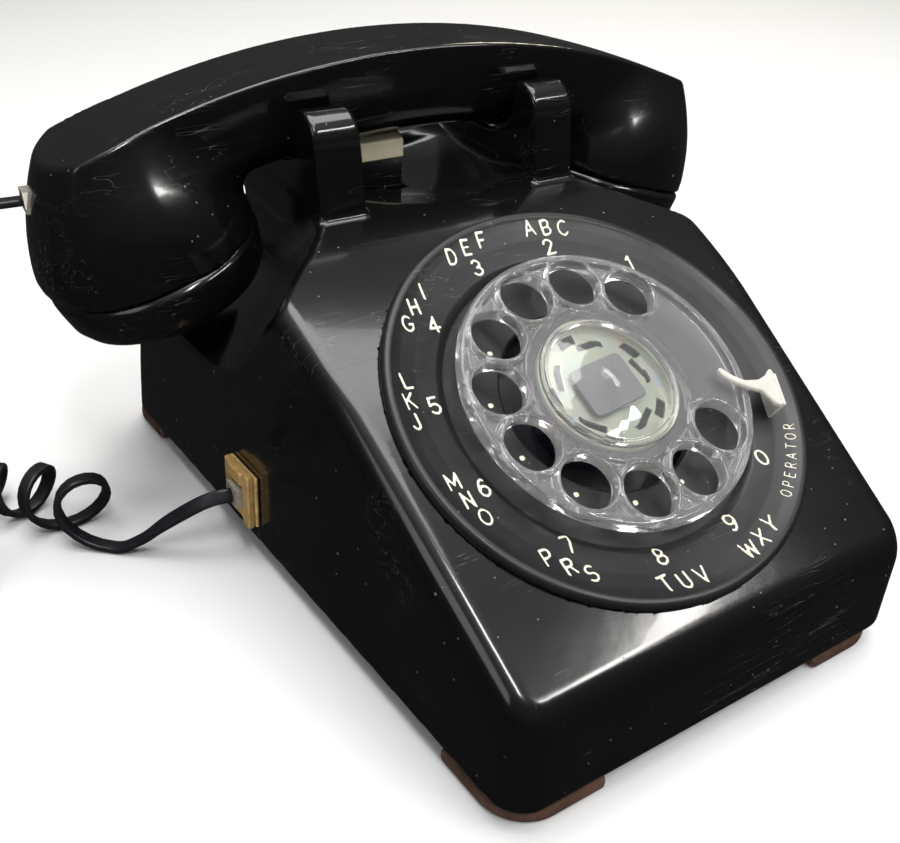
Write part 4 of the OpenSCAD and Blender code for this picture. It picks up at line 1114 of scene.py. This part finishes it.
def spider_shape(x, y, z):
    """Pressed hub disc with its windows and bent lugs."""
    r = np.sqrt(x ** 2 + y ** 2)
    disc = both(0.2, slab(z, 0.9, 1.9), r - 19.3)
    lip = both(0.25, slab(z, 0.9, 3.0), np.abs(r - 18.8) - 0.5)
    body = either(0.4, disc, lip)
    for k in range(5):
        a = radians(72 * k + 18)
        u, v = x * cos(a) + y * sin(a), -x * sin(a) + y * cos(a)
        arc_cut = both(0.3, np.abs(r - 15.6) - 1.3, np.abs(v - 3.4) - 2.6, -u)
        tip_cut = both(0.3, np.abs(u - 12.6) - 0.9, np.abs(v + 1.6) - 3.0)
        hook_cut = both(0.3, np.abs(r - 13.4) - 0.75, np.abs(v + 4.6) - 1.7, -u)
        body = without(0.15, body, arc_cut)
        body = without(0.15, body, np.minimum(tip_cut, hook_cut))
    plate = both(0.4, slab(z, 0.9, 3.1), np.maximum(np.abs(x), np.abs(y)) - 6.2)
    return either(0.5, body, plate)


def make_hub():
    step = 0.33
    piece = skin_piece("dial_hub_spider", spider_shape, [-20.5, -20.5, 0.2], [20.5, 20.5, 3.8], step,
                       "hub_metal", "dial", dial_frame())
    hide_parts("dial_hub")
    matrix = dial_frame() @ Matrix.Rotation(radians(6), 4, "Z")
    card = rounded([(-8.6, -7.0), (8.6, -7.0), (8.6, 7.0), (-8.6, 7.0)], 1.9, 5)
    points, faces = flat_piece(card, 3.15, 3.75, 0.12)
    piece = add_mesh("number_card_blank", moved(points, matrix), faces, "card_grey", "dial", False)
    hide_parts("number_card")
    # The small pale bar laid on the card is a painted reflection of a light in the centre window.
    bar = rounded([(-0.95, -3.1), (0.95, -3.1), (0.95, 3.1), (-0.95, 3.1)], 0.5, 3)
    points, faces = flat_piece([(x + 1.9, y + 0.9) for x, y in bar], 3.7, 3.95, 0.08)
    piece = add_mesh("number_card_painted_glint", moved(points, matrix @ Matrix.Rotation(radians(4), 4, "Z")), faces,
                     "card_slot", "dial", False)


STOP_LOW, STOP_TOP = 7.0, 8.3


def make_finger_stop():
    """Pressed claw: a leg up from the plate, folded over the wheel, with a pointed shoulder."""
    outline = [(30.1, -7.3), (31.2, -7.1), (33.2, -10.0), (36.2, -12.6), (40.6, -13.6), (44.4, -12.9),
               (47.0, -11.4), (48.0, -11.6), (47.7, -13.6), (46.3, -18.2), (44.6, -22.6), (41.6, -21.2),
               (39.6, -17.0), (35.6, -14.7), (32.2, -11.8), (30.2, -9.2)]
    points, faces = flat_piece(rounded(outline, 0.5, 2), STOP_LOW, STOP_TOP, 0.35)
    lifted = []
    for x, y, z in points:
        out = hypot(x, y) - 38
        lifted.append((x, y, z - 0.012 * max(out, 0) ** 2 + 0.004 * min(out, 0) ** 2))
    piece = add_mesh("finger_stop_claw", moved(lifted, dial_frame()), faces, "stop_steel", "base", False)
    bevel_edges(piece, 0.12)
    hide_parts("finger_stop")
    leg = [(44.7, -22.5), (47.8, -13.4), (47.0, -13.1), (43.7, -22.2)]
    points, faces = flat_piece(rounded(leg, 0.2, 2), -1.9, STOP_LOW + 0.2, 0.1)
    piece = add_mesh("finger_stop_leg", moved(points, dial_frame()), faces, "stop_steel", "base", False)
    bevel_edges(piece, 0.12)


def bevel_edges(piece, width):
    """Breaks the sharp edges of a piece and shades it smooth between them."""
    bm = bmesh.new()
    bm.from_mesh(piece.data)
    bmesh.ops.remove_doubles(bm, verts=bm.verts, dist=1e-6)
    bmesh.ops.recalc_face_normals(bm, faces=bm.faces)
    sharp = [e for e in bm.edges if e.is_manifold and e.calc_face_angle(0) > radians(30)]
    bmesh.ops.bevel(bm, geom=sharp, offset=width * MM, segments=2, profile=0.5, affect="EDGES",
                    clamp_overlap=True)
    bm.to_mesh(piece.data)
    bm.free()
    piece.data.polygons.foreach_set("use_smooth", [True] * len(piece.data.polygons))
    piece.data.set_sharp_from_angle(angle=radians(50))


# ---------------------------------------------------------------- jacks, plunger, feet
def side_matrix(x, y, z):
    """Frame on the left wall: X out of the wall is negative, Y along it to the back, Z up it."""
    turn = Matrix.Rotation(atan2(SIDE_FLARE, 1), 4, "Z") @ Matrix.Rotation(atan2(SIDE_LEAN, 1), 4, "Y")
    return Matrix.Translation((x, y, z)) @ turn


JACK_OUT, JACK_TALL = 3.4, 9.2


def jack_shape(x, y, z):
    """Amber jack: an outer plate stepped away at its lower corners, a flange behind it, and the socket."""
    plate = both(0.45, slab(x, -JACK_OUT, -1.4), slab(y, -7.2, 7.4), abs(z) - JACK_TALL)
    plate = without(0.35, plate, both(1.4, -3.4 - y, z + 6.8))
    plate = without(0.35, plate, both(1.2, 3.8 - y, z + 4.8))
    flange = both(0.4, slab(x, -1.3, -0.25), slab(y, -8.0, 7.9), abs(z) - JACK_TALL + 0.4)
    boss = both(0.5, slab(x, -1.9, 12), slab(y, -6, 6), slab(z, -6, 6))
    body = np.minimum(np.minimum(plate, flange), boss)
    hood = both(0.4, slab(x, -JACK_OUT - 0.8, -1.7), np.abs(y) - 4.2, slab(z, 5.0, JACK_TALL))
    body = either(0.3, body, hood)
    return without(0.25, body, both(0.2, np.abs(y) - 3.45, np.abs(z - 0.3) - 3.95, x - 9))


def make_jacks():
    matrix = side_matrix(-side_x(JACK_Y, JACK_Z), JACK_Y, JACK_Z)
    step = 0.36
    piece = skin_piece("handset_jack_amber", jack_shape, [-6, -12, -12], [13.5, 12, 11.5], step,
                       "amber_plastic", "base", matrix)
    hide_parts("handset_jack")


HEAD_H = 7.4


def plunger_shape(x, y, z):
    low, high = PLUNGER_LOW, PLUNGER_HIGH
    bar = both(0.7, slab(x, low[0], high[0]), slab(y, low[1], high[1]), slab(z, low[2], high[2]))
    nose = (z - high[2]) * 0.87 - (y - low[1] - 3.2) * 0.5
    return both(0.6, bar, nose)


def make_plunger():
    """The hook's bar: an ivory head on a black stem."""
    step = 0.45
    low, high = [v - 1.5 for v in PLUNGER_LOW], [v + 1.5 for v in PLUNGER_HIGH]
    neck = PLUNGER_HIGH[2] - HEAD_H

    def head(x, y, z):
        return both(0.35, plunger_shape(x, y, z), neck - z)

    def stem(x, y, z):
        return both(0.3, plunger_shape(x, y, z) + 0.5, z - neck - 0.4)
    bottom = [low[0], low[1], neck - 2]
    piece = skin_piece("plunger_bar", head, bottom, high, step, "ivory_plastic", "hook_plunger")
    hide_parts("plunger")
    top = [high[0], high[1], neck + 2]
    piece = skin_piece("plunger_stem", stem, low, top, step, "black_plastic", "hook_plunger")


# How long the pads are, and how far from the middle the front and back ones start.
FOOT_LONG, FRONT_FOOT, BACK_FOOT = 28, 36, 56


def feet_shape(x, y, z):
    """Four moulded pads that follow the corners of the housing's rim."""
    half = abs(x)
    side = (half - side_x(y, RIM_Z) + 0.9) / sqrt(1 + SIDE_FLARE ** 2)
    ends = np.maximum(FRONT_Y + 0.9 - y, y - BACK_Y + 0.9)
    outer = both(12, side, ends)
    front = both(6, FRONT_FOOT - half, y - FRONT_Y - FOOT_LONG)
    back = both(6, BACK_FOOT - half, BACK_Y - FOOT_LONG - y)
    pads = np.minimum(front, back)
    low = both(1.4, outer + 0.25 * np.maximum(1.5 - z, 0), pads, slab(z, 0.02, 4.4))
    high = both(0.8, outer + 1.0, pads + 1.0, slab(z, 3.6, RIM_Z - 0.3))
    return either(0.4, low, high)


def make_feet():
    step = 0.8
    reach = HOUSE_HIGH[0] + 2
    piece = skin_piece("foot_pads", feet_shape, [-reach, FRONT_Y - 2, -1.5], [reach, BACK_Y + 2, 8], step,
                       "foot_brown", "base")
    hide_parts("feet")


# ---------------------------------------------------------------- room, light and floor
def area_light(name, place, target, size, power, colour=(1, 1, 1), size_y=None):
    data = bpy.data.lights.new(name, "AREA")
    data.energy, data.color, data.size = power, colour, size
    if size_y:
        data.shape, data.size_y = "RECTANGLE", size_y
    lamp = bpy.data.objects.new(name, data)
    lamp.location = place
    lamp.rotation_euler = (Vector(target) - Vector(place)).to_track_quat("-Z", "Y").to_euler()
    bpy.context.scene.collection.objects.link(lamp)


def make_room():
    """Pale floor, a sky that is bright overhead and dim below, and softboxes."""
    world = bpy.data.worlds.new("studio")
    bpy.context.scene.world = world
    sky = Nodes("sky", world)
    split = sky.add("ShaderNodeSeparateXYZ")
    sky.feed(split, 0, sky.place)
    stops = [(0.0, (0.02, 0.02, 0.022)), (0.5, (0.035, 0.035, 0.037)), (0.65, (0.075, 0.074, 0.072)),
             (0.82, (0.14, 0.14, 0.14)), (0.90, (0.34, 0.345, 0.35)), (0.96, (0.76, 0.77, 0.79)),
             (1.0, (0.90, 0.91, 0.94))]
    sky.set(Color=sky.ramp(sky.band(split.outputs["Z"], -1.0, 1.0), stops), Strength=1.0)
    area_light("ceiling_box", (0.1, 0.1, 1.3), (0, 0, 0.08), 0.9, 12.0, (1.0, 0.99, 0.97))
    area_light("front_strip", (0.42, -0.55, 0.78), (0.0, 0.02, 0.11), 0.5, 2.6, (1.0, 0.98, 0.95), 0.05)
    area_light("window", (-0.16, -0.62, 1.12), (0, 0, 0.1), 0.12, 4.0, (0.97, 0.98, 1.0), 0.34)
    area_light("back_warm", (0.95, 1.0, 0.78), (0.05, 0.03, 0.1), 0.34, 2.6, (1.0, 0.92, 0.72), 0.3)
    area_light("left_fill", (-1.0, -0.3, 0.7), (0, 0, 0.08), 0.5, 1.4, (0.95, 0.97, 1.0))
    mesh = bpy.data.meshes.new("floor")
    reach = 6
    corners = [(-reach, -reach, 0), (reach, -reach, 0), (reach, reach, 0), (-reach, reach, 0)]
    mesh.from_pydata(corners, [], [(0, 1, 2, 3)])
    floor = bpy.data.objects.new("floor", mesh)
    bpy.context.scene.collection.objects.link(floor)
    m = Nodes("floor")
    grain = m.noise(3, 3, 0.5)
    m.set(Base_Color=m.mix(grain, rgb(0.90, 0.90, 0.895), rgb(0.93, 0.93, 0.93)), Roughness=0.9)
    m.shader.inputs["Specular IOR Level"].default_value = 0.0
    mesh.materials.append(m.material)
    floor.visible_glossy = False
    bpy.context.scene.view_settings.view_transform = "Standard"


# ---------------------------------------------------------------- the scene
make_camera()
make_cord()
paint_frame()
make_housing()
make_handset()
make_cap("receiver_cap_round", "receiver_cap", 1, [(1, 0.01), (6, 7)])
make_cap("transmitter_cap_round", "transmitter_cap", -1, [(1, 0.01), (6, 4.5), (12, 9), (18, 13.5)])
make_number_plate()
make_print()
make_finger_wheel()
make_window()
make_hub()
make_finger_stop()
make_jacks()
make_plunger()
make_feet()
make_room()
